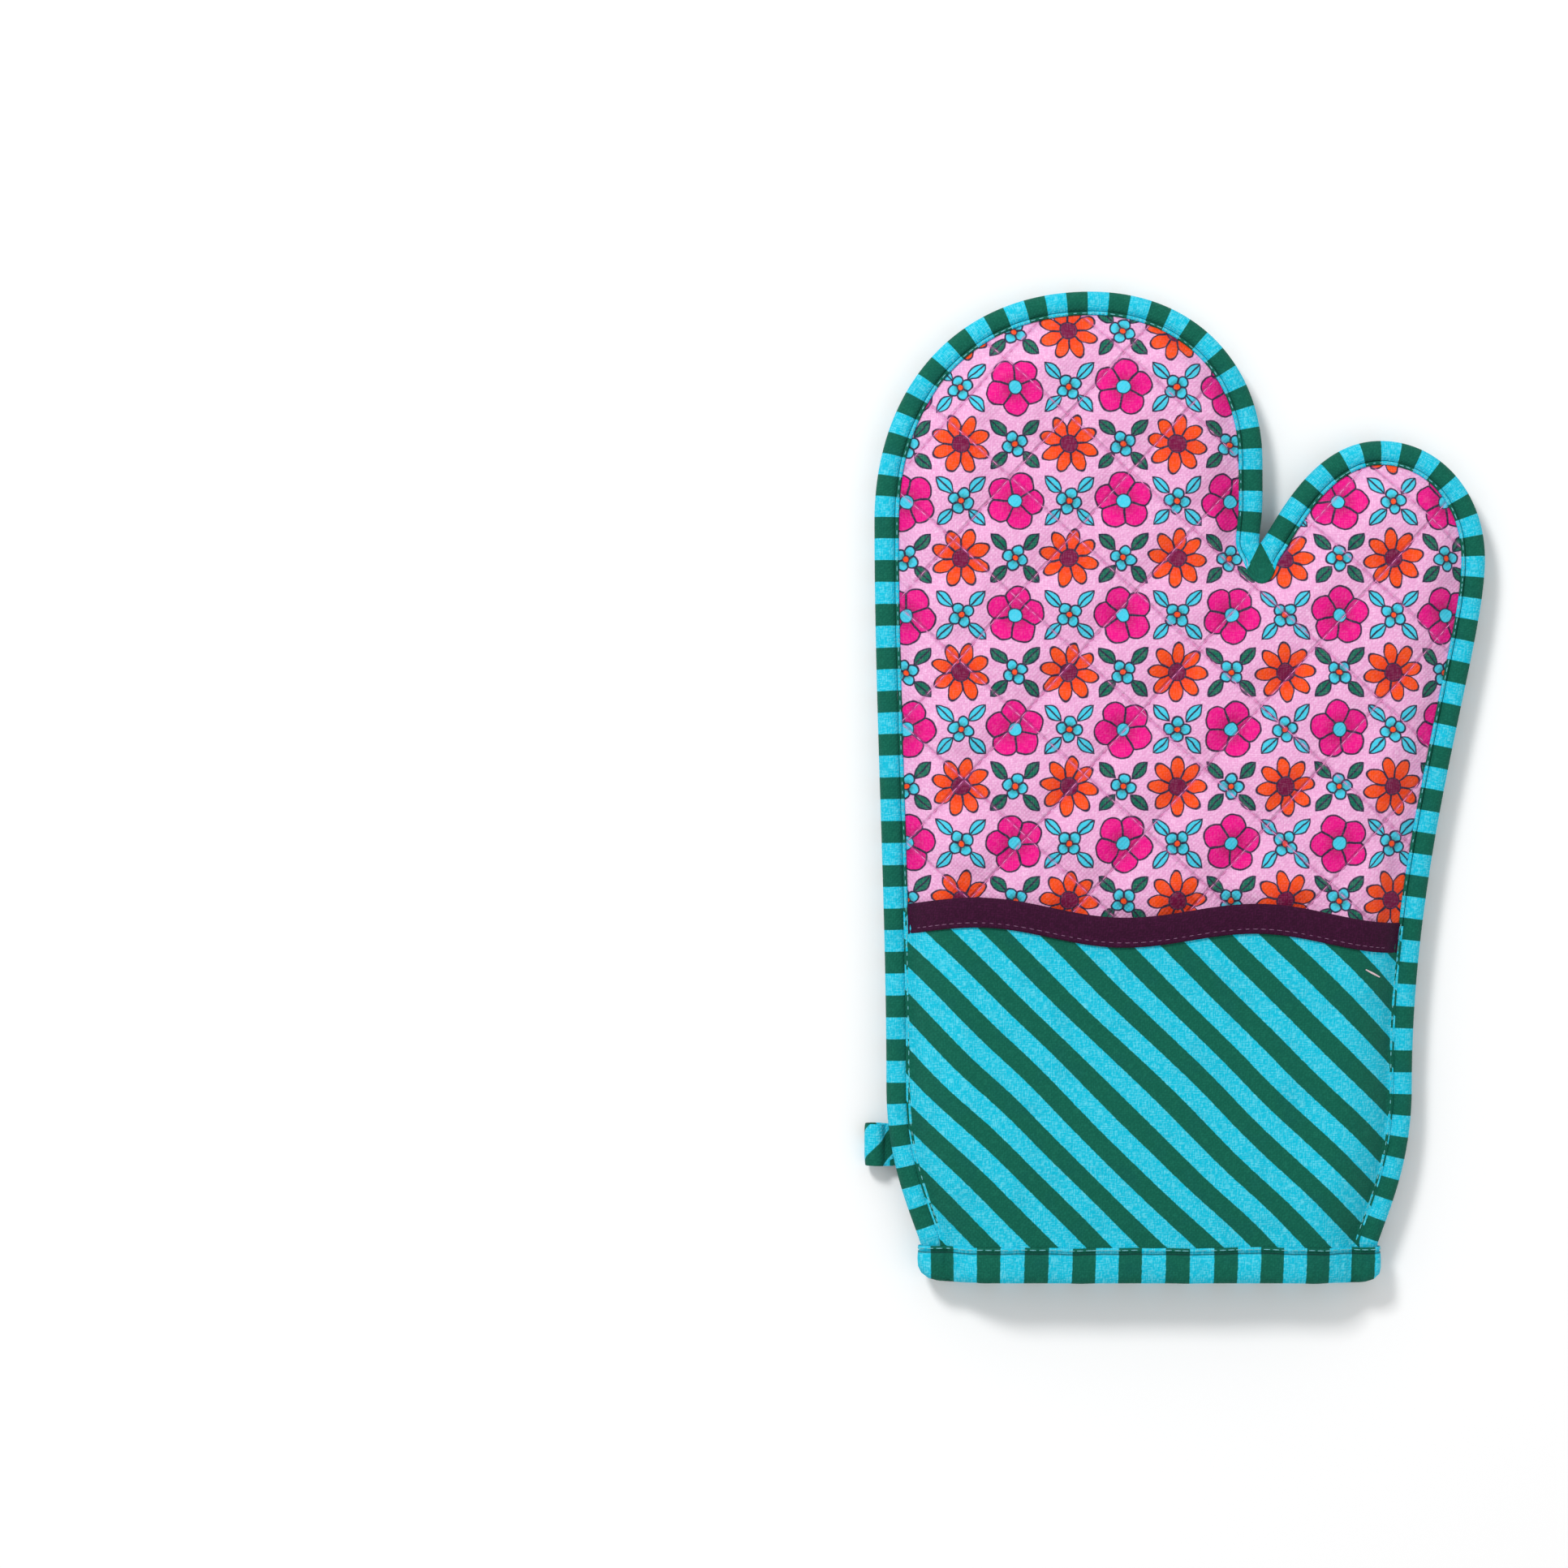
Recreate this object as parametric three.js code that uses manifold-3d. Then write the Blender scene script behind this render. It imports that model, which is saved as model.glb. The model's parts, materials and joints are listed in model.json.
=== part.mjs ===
// A quilted oven mitt, lying on its back face with the fingers towards +Y and the thumb towards +X.
// Two padded walls (cloth outside, wadding between, lining inside) are sewn together round the hand and left
// open at the mouth. A striped tape binds the raw edge, a second one binds the mouth, a patch pocket with
// its own bound edge covers the cuff, and a short loop of tape hangs from the side seam.
// The walls and the edge tape are divided where the fingers and the thumb fold, so that those two can turn.
import * as THREE from "three";
import { mergeVertices } from "three/addons/utils/BufferGeometryUtils.js";
import Module from "manifold-3d";

// ---- Sizes, in millimetres. Heights along Y are counted from the mouth. ----
const PALM_LENGTH = 244; // mouth to the crotch between fingers and thumb
const FINGER_LENGTH = 86; // crotch to fingertip
const THUMB_LENGTH = 36; // crotch to the top of the thumb
const FINGER_WIDTH = 130;
const THUMB_REACH = 76; // crotch to the outermost point of the thumb
const WRIST_WIDTH = 176;
const WRIST_HEIGHT = 64; // where the cuff reaches its full width
const MOUTH_WIDTH = 153;
const FINGER_OVERHANG = 4; // how far the finger bag stands out past the wrist
const CROTCH_OPENING = 9; // length over which the crotch is rounded

const TAPE_CLOTH = 0.8;
const TAPE_GAP = 0.3;
const EDGE_TAPE_WIDTH = 8.2;
const MOUTH_TAPE_WIDTH = 10.3;
const MOUTH_TAPE_GAP = 0.7; // the mouth tape turns a thick edge, so it sits looser

const SHELL_CLOTH = 0.6;
const LINING_CLOTH = 0.5;
const WADDING = 4.2; // loft of the wadding in the middle of a wall
const SEWN_WADDING = 0.7; // the same wadding, pressed flat in the seam
const LAYER_GAP = 0.2;
const SEAM_PLANE = 9; // height of the side seam above the table
const HAND_ROOM = 10; // height of the hollow for the hand
const SEWN_BAND = EDGE_TAPE_WIDTH + 0.5; // the walls stay pressed flat a little past the edge tape
const DOME_RUN = 18.5; // width over which a wall swells from there to its full height
const MOUTH_PRESS = 1.6; // how much the mouth tape presses each wall
const MOUTH_RUN = 30; // length over which that pressing fades

const POCKET_HEIGHT = 123.3; // mouth to the pocket's bound edge, at the mitt's middle line
const POCKET_SLOPE = 0.022; // how much that edge drops towards the thumb
const POCKET_WAVE = 2.8; // and how far it wanders up and down
const POCKET_WAVE_LENGTH = 93;
const POCKET_CREST = 36; // the middle line to a crest of the wave
const POCKET_TAPE_WIDTH = 10;
const POCKET_CLOTH = 0.7;
const POCKET_REST = 0.9; // how far the pocket lies off the wall at its foot
const POCKET_EDGE_REST = 1.9; // and at its bound edge, beside the side tapes
const POCKET_SLACK = 5; // and how much more in the middle of the bound edge

const LOOP_WIDTH = 14;
const LOOP_HEIGHT = 44; // mouth to the middle of the loop
const LOOP_CLOTH = 0.9;
const LOOP_EYE_REACH = 4.4; // the open eye, outwards
const LOOP_EYE_HEIGHT = 5.2;
const LOOP_CORNER = 0.6;
const LOOP_NECK = 0.8; // pivot to the eye's wall
const LOOP_TAB = 8; // length of the end that is sewn down

const FOLD_GAP = 0.2; // half of the gap at each fold line
const THUMB_FOLD_DROP = 59; // how far the thumb's fold line drops from the crotch
const THUMB_FOLD_RUN = 66.5; // over this width

const FAR = 600;

// ---- The cutting line: one smooth path from the mouth's left corner round the hand to its right corner ----
const leftWrist = -WRIST_WIDTH / 2;
const fingerLeft = leftWrist - FINGER_OVERHANG;
const fingerRight = fingerLeft + FINGER_WIDTH;
const crotch = new THREE.Vector2(fingerRight - 1.5, PALM_LENGTH);
const thumbRight = crotch.x + THUMB_REACH;
const fingerTop = PALM_LENGTH + FINGER_LENGTH;
const thumbTop = PALM_LENGTH + THUMB_LENGTH;
const mouthBand = MOUTH_TAPE_WIDTH + MOUTH_TAPE_GAP; // the mouth's sides run straight under its tape
const fingerSide = new THREE.Vector2(0.115, 0.993); // directions in which the two lobes leave the crotch
const thumbSide = new THREE.Vector2(0.516, 0.856);

function seamLine() {
  const path = new THREE.CurvePath();
  const at = (x, y) => new THREE.Vector2(x, y);
  const bezier = (...p) => path.add(new THREE.CubicBezierCurve(...p));
  const fromCrotch = (way, length) => crotch.clone().addScaledVector(way, length);
  const halfMouth = MOUTH_WIDTH / 2;
  const fingerBulge = at(fingerLeft, PALM_LENGTH + 0.105 * FINGER_LENGTH);
  const fingerTip = at(fingerLeft + 0.556 * FINGER_WIDTH, fingerTop);
  const fingerShoulder = at(fingerRight, PALM_LENGTH + 0.337 * FINGER_LENGTH);
  const fingerFoot = fromCrotch(fingerSide, CROTCH_OPENING);
  const thumbFoot = fromCrotch(thumbSide, CROTCH_OPENING);
  const thumbTip = at(crotch.x + 0.54 * THUMB_REACH, thumbTop);
  const thumbBulge = at(thumbRight, PALM_LENGTH - 0.1 * THUMB_LENGTH);
  const swell = 0.6 * WRIST_HEIGHT;
  const rise = (fingerBulge.y - WRIST_HEIGHT) / 3;
  const mouthCorner = (side) => at(side * halfMouth, mouthBand);
  const cuffBend = (side) => at(side * (halfMouth + 4), mouthBand + 12);
  path.add(new THREE.LineCurve(at(-halfMouth, 0), mouthCorner(-1)));
  bezier(mouthCorner(-1), cuffBend(-1), at(leftWrist, swell), at(leftWrist, WRIST_HEIGHT));
  const sideRise = at(leftWrist, WRIST_HEIGHT + rise);
  bezier(at(leftWrist, WRIST_HEIGHT), sideRise, at(fingerLeft, fingerBulge.y - rise), fingerBulge);
  bezier(
    fingerBulge,
    at(fingerLeft, fingerBulge.y + 0.58 * (fingerTop - fingerBulge.y)),
    at(fingerTip.x - 0.62 * (fingerTip.x - fingerLeft), fingerTop),
    fingerTip,
  );
  bezier(
    fingerTip,
    at(fingerTip.x + 0.62 * (fingerRight - fingerTip.x), fingerTop),
    at(fingerRight, fingerShoulder.y + 0.56 * (fingerTop - fingerShoulder.y)),
    fingerShoulder,
  );
  const fingerDrop = at(fingerRight, fingerShoulder.y - 8);
  bezier(fingerShoulder, fingerDrop, fromCrotch(fingerSide, CROTCH_OPENING + 6), fingerFoot);
  bezier(fingerFoot, fromCrotch(fingerSide, 0.5), fromCrotch(thumbSide, 0.5), thumbFoot);
  const thumbShoulder = at(thumbTip.x - 0.44 * (thumbTip.x - crotch.x), thumbTop);
  bezier(thumbFoot, fromCrotch(thumbSide, CROTCH_OPENING + 14), thumbShoulder, thumbTip);
  bezier(
    thumbTip,
    at(thumbTip.x + 0.57 * (thumbRight - thumbTip.x), thumbTop),
    at(thumbRight, thumbBulge.y + 0.56 * (thumbTop - thumbBulge.y)),
    thumbBulge,
  );
  bezier(
    thumbBulge,
    at(thumbRight, thumbBulge.y - 30),
    at(WRIST_WIDTH / 2, WRIST_HEIGHT + 0.45 * (thumbBulge.y - WRIST_HEIGHT)),
    at(WRIST_WIDTH / 2, WRIST_HEIGHT),
  );
  bezier(at(WRIST_WIDTH / 2, WRIST_HEIGHT), at(WRIST_WIDTH / 2, swell), cuffBend(1), mouthCorner(1));
  path.add(new THREE.LineCurve(mouthCorner(1), at(halfMouth, 0)));
  const divisions = [1, 4, 6, 9, 7, 3, 4, 6, 6, 7, 4, 1];
  return path.curves.flatMap((curve, i) => curve.getPoints(divisions[i]).slice(i ? 1 : 0));
}

const seam = seamLine();

// The inward direction at each point of the seam. The tape's two folds leave it straight across at the mouth.
const inward = seam.map((p, i) => {
  const before = p.clone().sub(seam[Math.max(i - 1, 0)]);
  const after = seam[Math.min(i + 1, seam.length - 1)].clone().sub(p);
  if (p.y < mouthBand + 1) return new THREE.Vector2(-Math.sign(p.x), 0);
  const sum = before.normalize().add(after.normalize());
  return new THREE.Vector2(sum.y, -sum.x).normalize();
});

const inset = (i, distance) => seam[i].clone().addScaledVector(inward[i], distance);

function seamDistance(p) {
  let best = Infinity;
  for (let i = 1; i < seam.length; i++) {
    const a = seam[i - 1];
    const run = seam[i].clone().sub(a);
    const share = THREE.MathUtils.clamp(p.clone().sub(a).dot(run) / run.lengthSq(), 0, 1);
    best = Math.min(best, p.distanceTo(a.clone().addScaledVector(run, share)));
  }
  return best;
}

// ---- Heights of the layers over the table ----
// A wall is flat in the seam, rises in two steps and is level from there on.
const DOME_STEPS = [
  [SEWN_BAND, 0],
  [SEWN_BAND + 0.45 * DOME_RUN, 0.68],
  [SEWN_BAND + DOME_RUN, 1],
];
const share = (value, [from, low], [to, high]) =>
  THREE.MathUtils.lerp(low, high, THREE.MathUtils.clamp((value - from) / (to - from), 0, 1));
const [sewn, shoulder, crown] = DOME_STEPS;
const domeAt = (depth) => (depth < shoulder[0] ? share(depth, sewn, shoulder) : share(depth, shoulder, crown));
const dome = (p) => domeAt(seamDistance(p));
const pressFade = (p) => THREE.MathUtils.smoothstep(p.y, mouthBand, mouthBand + MOUTH_RUN);
const mouthPress = (p) => MOUTH_PRESS * (1 - pressFade(p));
const loft = (p) => THREE.MathUtils.lerp(SEWN_WADDING, WADDING, dome(p)) - mouthPress(p) * dome(p);
const fullWall = SHELL_CLOTH + LINING_CLOTH + WADDING + 2 * LAYER_GAP;
const backSag = SEAM_PLANE - LAYER_GAP / 2 - fullWall; // how far the back lining drops below the seam
const frontRise = HAND_ROOM - backSag - LAYER_GAP; // how far the front lining rises above it

// Each wall's surfaces, counted from the hollow outwards: side is +1 for the front wall and -1 for the back.
function surfaces(side) {
  const travel = side > 0 ? frontRise : backSag;
  const lining = (p) => SEAM_PLANE + side * (LAYER_GAP / 2 + travel * dome(p));
  const liningOut = (p) => lining(p) + side * LINING_CLOTH;
  const wadding = (p) => liningOut(p) + side * LAYER_GAP;
  const waddingOut = (p) => wadding(p) + side * loft(p);
  const shell = (p) => waddingOut(p) + side * LAYER_GAP;
  const shellOut = (p) => shell(p) + side * SHELL_CLOTH;
  return { lining, liningOut, wadding, waddingOut, shell, shellOut };
}

const front = surfaces(1);
const back = surfaces(-1);

// ---- Solids ----
const wasm = await Module();
wasm.setup();

function solidOf(geometry) {
  const bare = geometry.clone();
  bare.deleteAttribute("normal");
  bare.deleteAttribute("uv");
  const merged = mergeVertices(bare, 1e-4);
  return new wasm.Manifold(
    new wasm.Mesh({
      numProp: 3,
      vertProperties: merged.attributes.position.array,
      triVerts: new Uint32Array(merged.index.array),
    }),
  );
}

function geometryOf(solid) {
  const { vertProperties, triVerts } = solid.getMesh();
  const geometry = new THREE.BufferGeometry();
  geometry.setAttribute("position", new THREE.BufferAttribute(new Float32Array(vertProperties), 3));
  geometry.setIndex(new THREE.BufferAttribute(new Uint32Array(triVerts), 1));
  return geometry;
}

function bufferOf(points, triangles) {
  const geometry = new THREE.BufferGeometry();
  const coordinates = points.flatMap((p) => [p.x, p.y, p.z]);
  geometry.setAttribute("position", new THREE.Float32BufferAttribute(coordinates, 3));
  geometry.setIndex(triangles.flat());
  return geometry;
}

// Caps a section that runs out along one face of a sheet and back along the other.
const rungs = (n) =>
  Array.from({ length: n / 2 - 1 }, (_, i) => [
    [i, i + 1, n - 1 - i],
    [i + 1, n - 2 - i, n - 1 - i],
  ]).flat();

// A closed strip made of rings of points: each section joins the next, and the first and last are capped.
// A sheet's end section can bend out of its plane, so its cap is made of rungs.
function sweep(sections, isSheet = false) {
  const n = sections[0].length;
  const triangles = [];
  for (let s = 0; s + 1 < sections.length; s++)
    for (let k = 0; k < n; k++) {
      const [a, b] = [s * n + k, s * n + ((k + 1) % n)];
      triangles.push([a, b, a + n], [b, b + n, a + n]);
    }
  const flat = sections[0].map((p) => p.flat);
  const cap = isSheet ? rungs(n) : THREE.ShapeUtils.triangulateShape(flat, []);
  const end = (sections.length - 1) * n;
  const turn = !isSheet && THREE.ShapeUtils.isClockWise(flat) ? -1 : 1;
  cap.forEach(([a, b, c]) => {
    triangles.push(turn > 0 ? [c, b, a] : [a, b, c]);
    triangles.push(turn > 0 ? [end + a, end + b, end + c] : [end + c, end + b, end + a]);
  });
  return outwards(bufferOf(sections.flat().map((p) => p.at), triangles));
}

// The solid of a closed surface, turned so that its faces look outwards.
function outwards(geometry) {
  const solid = solidOf(geometry);
  if (solid.volume() > 0) return solid;
  geometry.setIndex([...geometry.index.array].reverse());
  return solidOf(geometry);
}

// An outline in XY, extruded through all heights, that keeps one part of the mitt.
function prism(points) {
  const geometry = new THREE.ExtrudeGeometry(new THREE.Shape(points), { depth: FAR, bevelEnabled: false });
  return solidOf(geometry.translate(0, 0, -FAR / 2));
}

// An outline in XZ, extruded along Y.
function slab(outline, fromY, toY) {
  const options = { depth: toY - fromY, bevelEnabled: false };
  const geometry = new THREE.ExtrudeGeometry(new THREE.Shape(outline), options);
  return solidOf(geometry.rotateX(Math.PI / 2).translate(0, toY, 0));
}

// ---- The walls: one triangulated plan, shared by every layer so that they stay parallel ----
const CUFF_ROWS = 6; // seam points from the mouth up to the wrist, alike on both sides

function wallPlan() {
  const depths = [TAPE_CLOTH + TAPE_GAP, ...DOME_STEPS.map(([depth]) => depth)];
  const n = seam.length;
  const points = depths.flatMap((depth) => seam.map((_, i) => inset(i, depth)));
  const triangles = [];
  for (let r = 0; r + 1 < depths.length; r++)
    for (let i = 0; i + 1 < n; i++) {
      const a = r * n + i;
      triangles.push([a, a + n, a + 1], [a + 1, a + n, a + n + 1]);
    }
  const core = (depths.length - 1) * n;
  for (let i = 0; i + 1 < CUFF_ROWS; i++) {
    const [a, b] = [core + i, core + n - 1 - i];
    triangles.push([a, b, a + 1], [a + 1, b, b - 1]);
  }
  const level = Array.from({ length: n - 2 * CUFF_ROWS + 2 }, (_, i) => core + CUFF_ROWS - 1 + i);
  const fill = THREE.ShapeUtils.triangulateShape(level.map((k) => points[k]), []);
  triangles.push(...fill.map((t) => t.map((k) => level[k])));
  const around = (r) => Array.from({ length: n }, (_, i) => r * n + i);
  const mouth = (side) => Array.from({ length: depths.length }, (_, r) => r * n + (side ? n - 1 : 0));
  const rim = [...around(0), ...mouth(1).slice(1), ...mouth(0).reverse().slice(0, -1)];
  return { points, triangles: triangles.map((t) => facingUp(points, t)), rim };
}

function facingUp(points, [a, b, c]) {
  const turn = points[b].clone().sub(points[a]).cross(points[c].clone().sub(points[a]));
  return turn > 0 ? [a, b, c] : [a, c, b];
}

const plan = wallPlan();

function layer(low, high) {
  const { points, triangles, rim } = plan;
  const count = points.length;
  const lift = (z) => points.map((p) => new THREE.Vector3(p.x, p.y, z(p)));
  const faces = triangles.flatMap(([a, b, c]) => [
    [a + count, b + count, c + count],
    [c, b, a],
  ]);
  rim.forEach((a, i) => {
    const b = rim[(i + 1) % rim.length];
    faces.push([a, a + count, b], [b, a + count, b + count]);
  });
  return outwards(bufferOf([...lift(low), ...lift(high)], faces));
}

// ---- The two fold lines part the mitt into palm, fingers and thumb ----
const betweenLobes = fingerSide.clone().add(thumbSide).normalize();
const foldCorner = crotch.clone().addScaledVector(betweenLobes, 0.36 * CROTCH_OPENING);
const thumbFold = new THREE.Vector2(THUMB_FOLD_RUN, -THUMB_FOLD_DROP).normalize();
const thumbAway = new THREE.Vector2(-thumbFold.y, thumbFold.x);

function fingerZone(gap) {
  const corner = foldCorner.clone().add(new THREE.Vector2(0, gap));
  const top = corner.clone().addScaledVector(betweenLobes, FAR);
  return prism([corner, top, new THREE.Vector2(-FAR, top.y), new THREE.Vector2(-FAR, corner.y)]);
}

function thumbZone(gap) {
  const corner = foldCorner.clone().addScaledVector(thumbAway, gap);
  const top = corner.clone().addScaledVector(betweenLobes, FAR);
  const side = corner.clone().addScaledVector(thumbFold, FAR);
  return prism([corner, side, new THREE.Vector2(side.x, top.y), top]);
}

const keepFingers = fingerZone(FOLD_GAP);
const keepThumb = thumbZone(FOLD_GAP);
const cutFingers = fingerZone(-FOLD_GAP);
const cutThumb = thumbZone(-FOLD_GAP);
const parted = (solid) => ({
  palm: solid.subtract(cutFingers).subtract(cutThumb),
  fingers: solid.intersect(keepFingers),
  thumb: solid.intersect(keepThumb),
});

// ---- The tapes ----
// The edge tape is a U that straddles both walls, from the outline inwards.
function edgeTape() {
  const half = front.shellOut(seam[0]) - SEAM_PLANE;
  const [inside, outside] = [half + TAPE_GAP, half + TAPE_GAP + TAPE_CLOTH];
  const profile = [
    [0, outside],
    [EDGE_TAPE_WIDTH, outside],
    [EDGE_TAPE_WIDTH, inside],
    [TAPE_CLOTH, inside],
    [TAPE_CLOTH, -inside],
    [EDGE_TAPE_WIDTH, -inside],
    [EDGE_TAPE_WIDTH, -outside],
    [0, -outside],
  ];
  const sections = seam.map((_, i) =>
    profile.map(([depth, height]) => {
      const p = inset(i, depth);
      return { at: new THREE.Vector3(p.x, p.y, SEAM_PLANE + height), flat: new THREE.Vector2(depth, height) };
    }),
  );
  const aboveMouth = mouthBand + TAPE_GAP;
  const keep = prism([
    new THREE.Vector2(-FAR, aboveMouth),
    new THREE.Vector2(FAR, aboveMouth),
    new THREE.Vector2(FAR, FAR),
    new THREE.Vector2(-FAR, FAR),
  ]);
  return sweep(sections).intersect(keep);
}

// An outline across the mouth, in XZ: the walls keep the same profile all along the mouth tape.
function mouthOutline(half, top, bottom) {
  const stops = DOME_STEPS.map(([depth]) => MOUTH_WIDTH / 2 - depth).filter((x) => x < half);
  const line = [-half, ...stops.map((x) => -x), ...stops.reverse(), half];
  const at = (x) => new THREE.Vector2(THREE.MathUtils.clamp(x, 1 - MOUTH_WIDTH / 2, MOUTH_WIDTH / 2 - 1), 0);
  return [
    ...line.map((x) => new THREE.Vector2(x, top(at(x)))),
    ...line.reverse().map((x) => new THREE.Vector2(x, bottom(at(x)))),
  ];
}

function mouthTape() {
  const halfWall = MOUTH_WIDTH / 2 - TAPE_CLOTH - TAPE_GAP;
  const thick = MOUTH_TAPE_GAP + TAPE_CLOTH;
  const around = (grow, aside) =>
    mouthOutline(
      halfWall + aside,
      (p) => front.shellOut(p) + grow,
      (p) => back.shellOut(p) - grow,
    );
  // The hollow is followed as far out as there is height for the tape's two turned-in edges.
  const height = (x) => front.lining(new THREE.Vector2(x, 0)) - back.lining(new THREE.Vector2(x, 0));
  let halfHollow = halfWall;
  while (height(halfHollow) < 2 * thick + 1) halfHollow -= 0.5;
  const hollow = (shrink) =>
    mouthOutline(
      halfHollow - shrink,
      (p) => front.lining(p) - shrink,
      (p) => back.lining(p) + shrink,
    );
  const outer = slab(around(thick, TAPE_GAP + TAPE_CLOTH), -thick, MOUTH_TAPE_WIDTH);
  const cap = outer.subtract(slab(around(MOUTH_TAPE_GAP, TAPE_GAP), -MOUTH_TAPE_GAP, FAR));
  const turnedIn = slab(hollow(MOUTH_TAPE_GAP), -thick, MOUTH_TAPE_WIDTH);
  return cap.add(turnedIn).subtract(slab(hollow(thick), -FAR, FAR));
}

// ---- The pocket ----
const POCKET_COLUMNS = 12; // across the level part; the pocket's sides add one at each step of the wall
const POCKET_RISE = [0.3, 0.65, 1]; // its rows above the wrist, as shares of the height left below its tape

// Where a line inside the cutting line is, at a height along the cuff. Side is -1 for the left.
function besideSeam(y, side, depth) {
  const beside = (p, i) => Math.sign(seam[i].x) === side && p.y < PALM_LENGTH - 20;
  const line = seam.map((_, i) => inset(i, depth)).filter(beside);
  line.sort((a, b) => a.y - b.y);
  const i = Math.max(1, line.findIndex((p) => p.y >= y));
  return THREE.MathUtils.mapLinear(y, line[i - 1].y, line[i].y, line[i - 1].x, line[i].x);
}

const pocketSide = EDGE_TAPE_WIDTH + 2 * TAPE_GAP;
const sideColumns = [pocketSide, DOME_STEPS[1][0], DOME_STEPS[2][0]];
const levelShares = Array.from({ length: POCKET_COLUMNS - 1 }, (_, i) => (i + 1) / POCKET_COLUMNS);
const columns = [
  ...sideColumns.map((depth) => ({ left: depth, across: 0 })),
  ...levelShares.map((across) => ({ left: DOME_STEPS[2][0], across })),
  ...[...sideColumns].reverse().map((depth) => ({ left: depth, across: 1 })),
];

function columnX({ left, across }, y) {
  return THREE.MathUtils.lerp(besideSeam(y, -1, left), besideSeam(y, 1, left), across);
}

const pocketShare = (column) => 0.5 + columnX(column, POCKET_HEIGHT) / WRIST_WIDTH;
const pocketTop = (column) => {
  const x = columnX(column, POCKET_HEIGHT);
  const wave = Math.cos((2 * Math.PI * (x - POCKET_CREST)) / POCKET_WAVE_LENGTH);
  return POCKET_HEIGHT - POCKET_SLOPE * x + POCKET_WAVE * wave;
};
const pocketFoot = mouthBand + TAPE_GAP;
// Up to the wrist its rows are at the bends of the side tapes, so that its sides run parallel to them.
const cuffBends = [2, 3, 4, 5].map((i) => inset(i, pocketSide).y);
const wristRow = cuffBends[cuffBends.length - 1];

function pocketLift(column, climb) {
  const slack = Math.sin(Math.PI * THREE.MathUtils.clamp(pocketShare(column), 0, 1));
  return THREE.MathUtils.lerp(POCKET_REST, POCKET_EDGE_REST, climb) + POCKET_SLACK * slack * climb * climb;
}

function pocketPoint(column, y) {
  const climb = THREE.MathUtils.clamp((y - pocketFoot) / (pocketTop(column) - pocketFoot), 0, 1);
  const x = columnX(column, y);
  return new THREE.Vector3(x, y, front.shellOut(new THREE.Vector2(x, y)) + pocketLift(column, climb));
}

function pocketPanel() {
  const heights = (column) => {
    const tapeFoot = pocketTop(column) - POCKET_TAPE_WIDTH - 1;
    const rows = POCKET_RISE.map((row) => THREE.MathUtils.lerp(wristRow, tapeFoot, row));
    return [pocketFoot, ...cuffBends, ...rows, pocketTop(column) - TAPE_CLOTH - TAPE_GAP];
  };
  const sections = columns.map((column) => {
    const low = heights(column).map((y) => pocketPoint(column, y));
    const high = low.map((p) => p.clone().setZ(p.z + POCKET_CLOTH)).reverse();
    return [...low, ...high].map((at) => ({ at, flat: new THREE.Vector2(at.y, at.z) }));
  });
  return sweep(sections, true);
}

function pocketTape() {
  const [under, over] = [-TAPE_GAP, POCKET_CLOTH + TAPE_GAP];
  const profile = [
    [0, over + TAPE_CLOTH],
    [POCKET_TAPE_WIDTH, over + TAPE_CLOTH],
    [POCKET_TAPE_WIDTH, over],
    [TAPE_CLOTH, over],
    [TAPE_CLOTH, under],
    [POCKET_TAPE_WIDTH, under],
    [POCKET_TAPE_WIDTH, under - TAPE_CLOTH],
    [0, under - TAPE_CLOTH],
  ];
  const sections = columns.map((column) =>
    profile.map(([below, height]) => {
      const p = pocketPoint(column, pocketTop(column) - below);
      return { at: p.setZ(p.z + height), flat: new THREE.Vector2(-below, height) };
    }),
  );
  return sweep(sections);
}

// ---- The hanging loop ----
// Its two ends lie together under the edge tape, and the loop turns where they come out.
const loopFrom = LOOP_HEIGHT - LOOP_WIDTH / 2;
const loopTo = LOOP_HEIGHT + LOOP_WIDTH / 2;
const loopEdge = Math.min(besideSeam(loopFrom, -1, 0), besideSeam(loopTo, -1, 0));
const loopPivotX = loopEdge - LOOP_CLOTH - TAPE_GAP;
const tapeUnderside = SEAM_PLANE - (front.shellOut(seam[0]) - SEAM_PLANE) - TAPE_GAP - TAPE_CLOTH;
const loopPivotZ = tapeUnderside - TAPE_GAP - LOOP_CLOTH;

// The eye's outline in XZ, grown on every side, with round corners.
function loopOutline(grow) {
  const right = loopPivotX - LOOP_NECK - LOOP_CLOTH + grow;
  const left = right - LOOP_EYE_REACH - 2 * grow;
  const [low, high] = [loopPivotZ - LOOP_EYE_HEIGHT / 2 - grow, loopPivotZ + LOOP_EYE_HEIGHT / 2 + grow];
  const round = LOOP_CORNER + grow;
  const shape = new THREE.Shape();
  shape.absarc(right - round, low + round, round, -Math.PI / 2, 0);
  shape.absarc(right - round, high - round, round, 0, Math.PI / 2);
  shape.absarc(left + round, high - round, round, Math.PI / 2, Math.PI);
  shape.absarc(left + round, low + round, round, Math.PI, 1.5 * Math.PI);
  return shape.getPoints(3);
}

function hangingLoop() {
  const wall = slab(loopOutline(LOOP_CLOTH), loopFrom, loopTo);
  const ends = [
    [loopPivotX - LOOP_NECK - LOOP_CLOTH / 2, -LOOP_CLOTH],
    [loopPivotX, -LOOP_CLOTH],
    [loopPivotX + LOOP_CLOTH, 0],
    [loopPivotX, LOOP_CLOTH],
    [loopPivotX - LOOP_NECK - LOOP_CLOTH / 2, LOOP_CLOTH],
  ];
  const neck = ends.map(([x, rise]) => new THREE.Vector2(x, loopPivotZ + rise));
  return wall.add(slab(neck, loopFrom, loopTo)).subtract(slab(loopOutline(0), loopFrom - 1, loopTo + 1));
}

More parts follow.
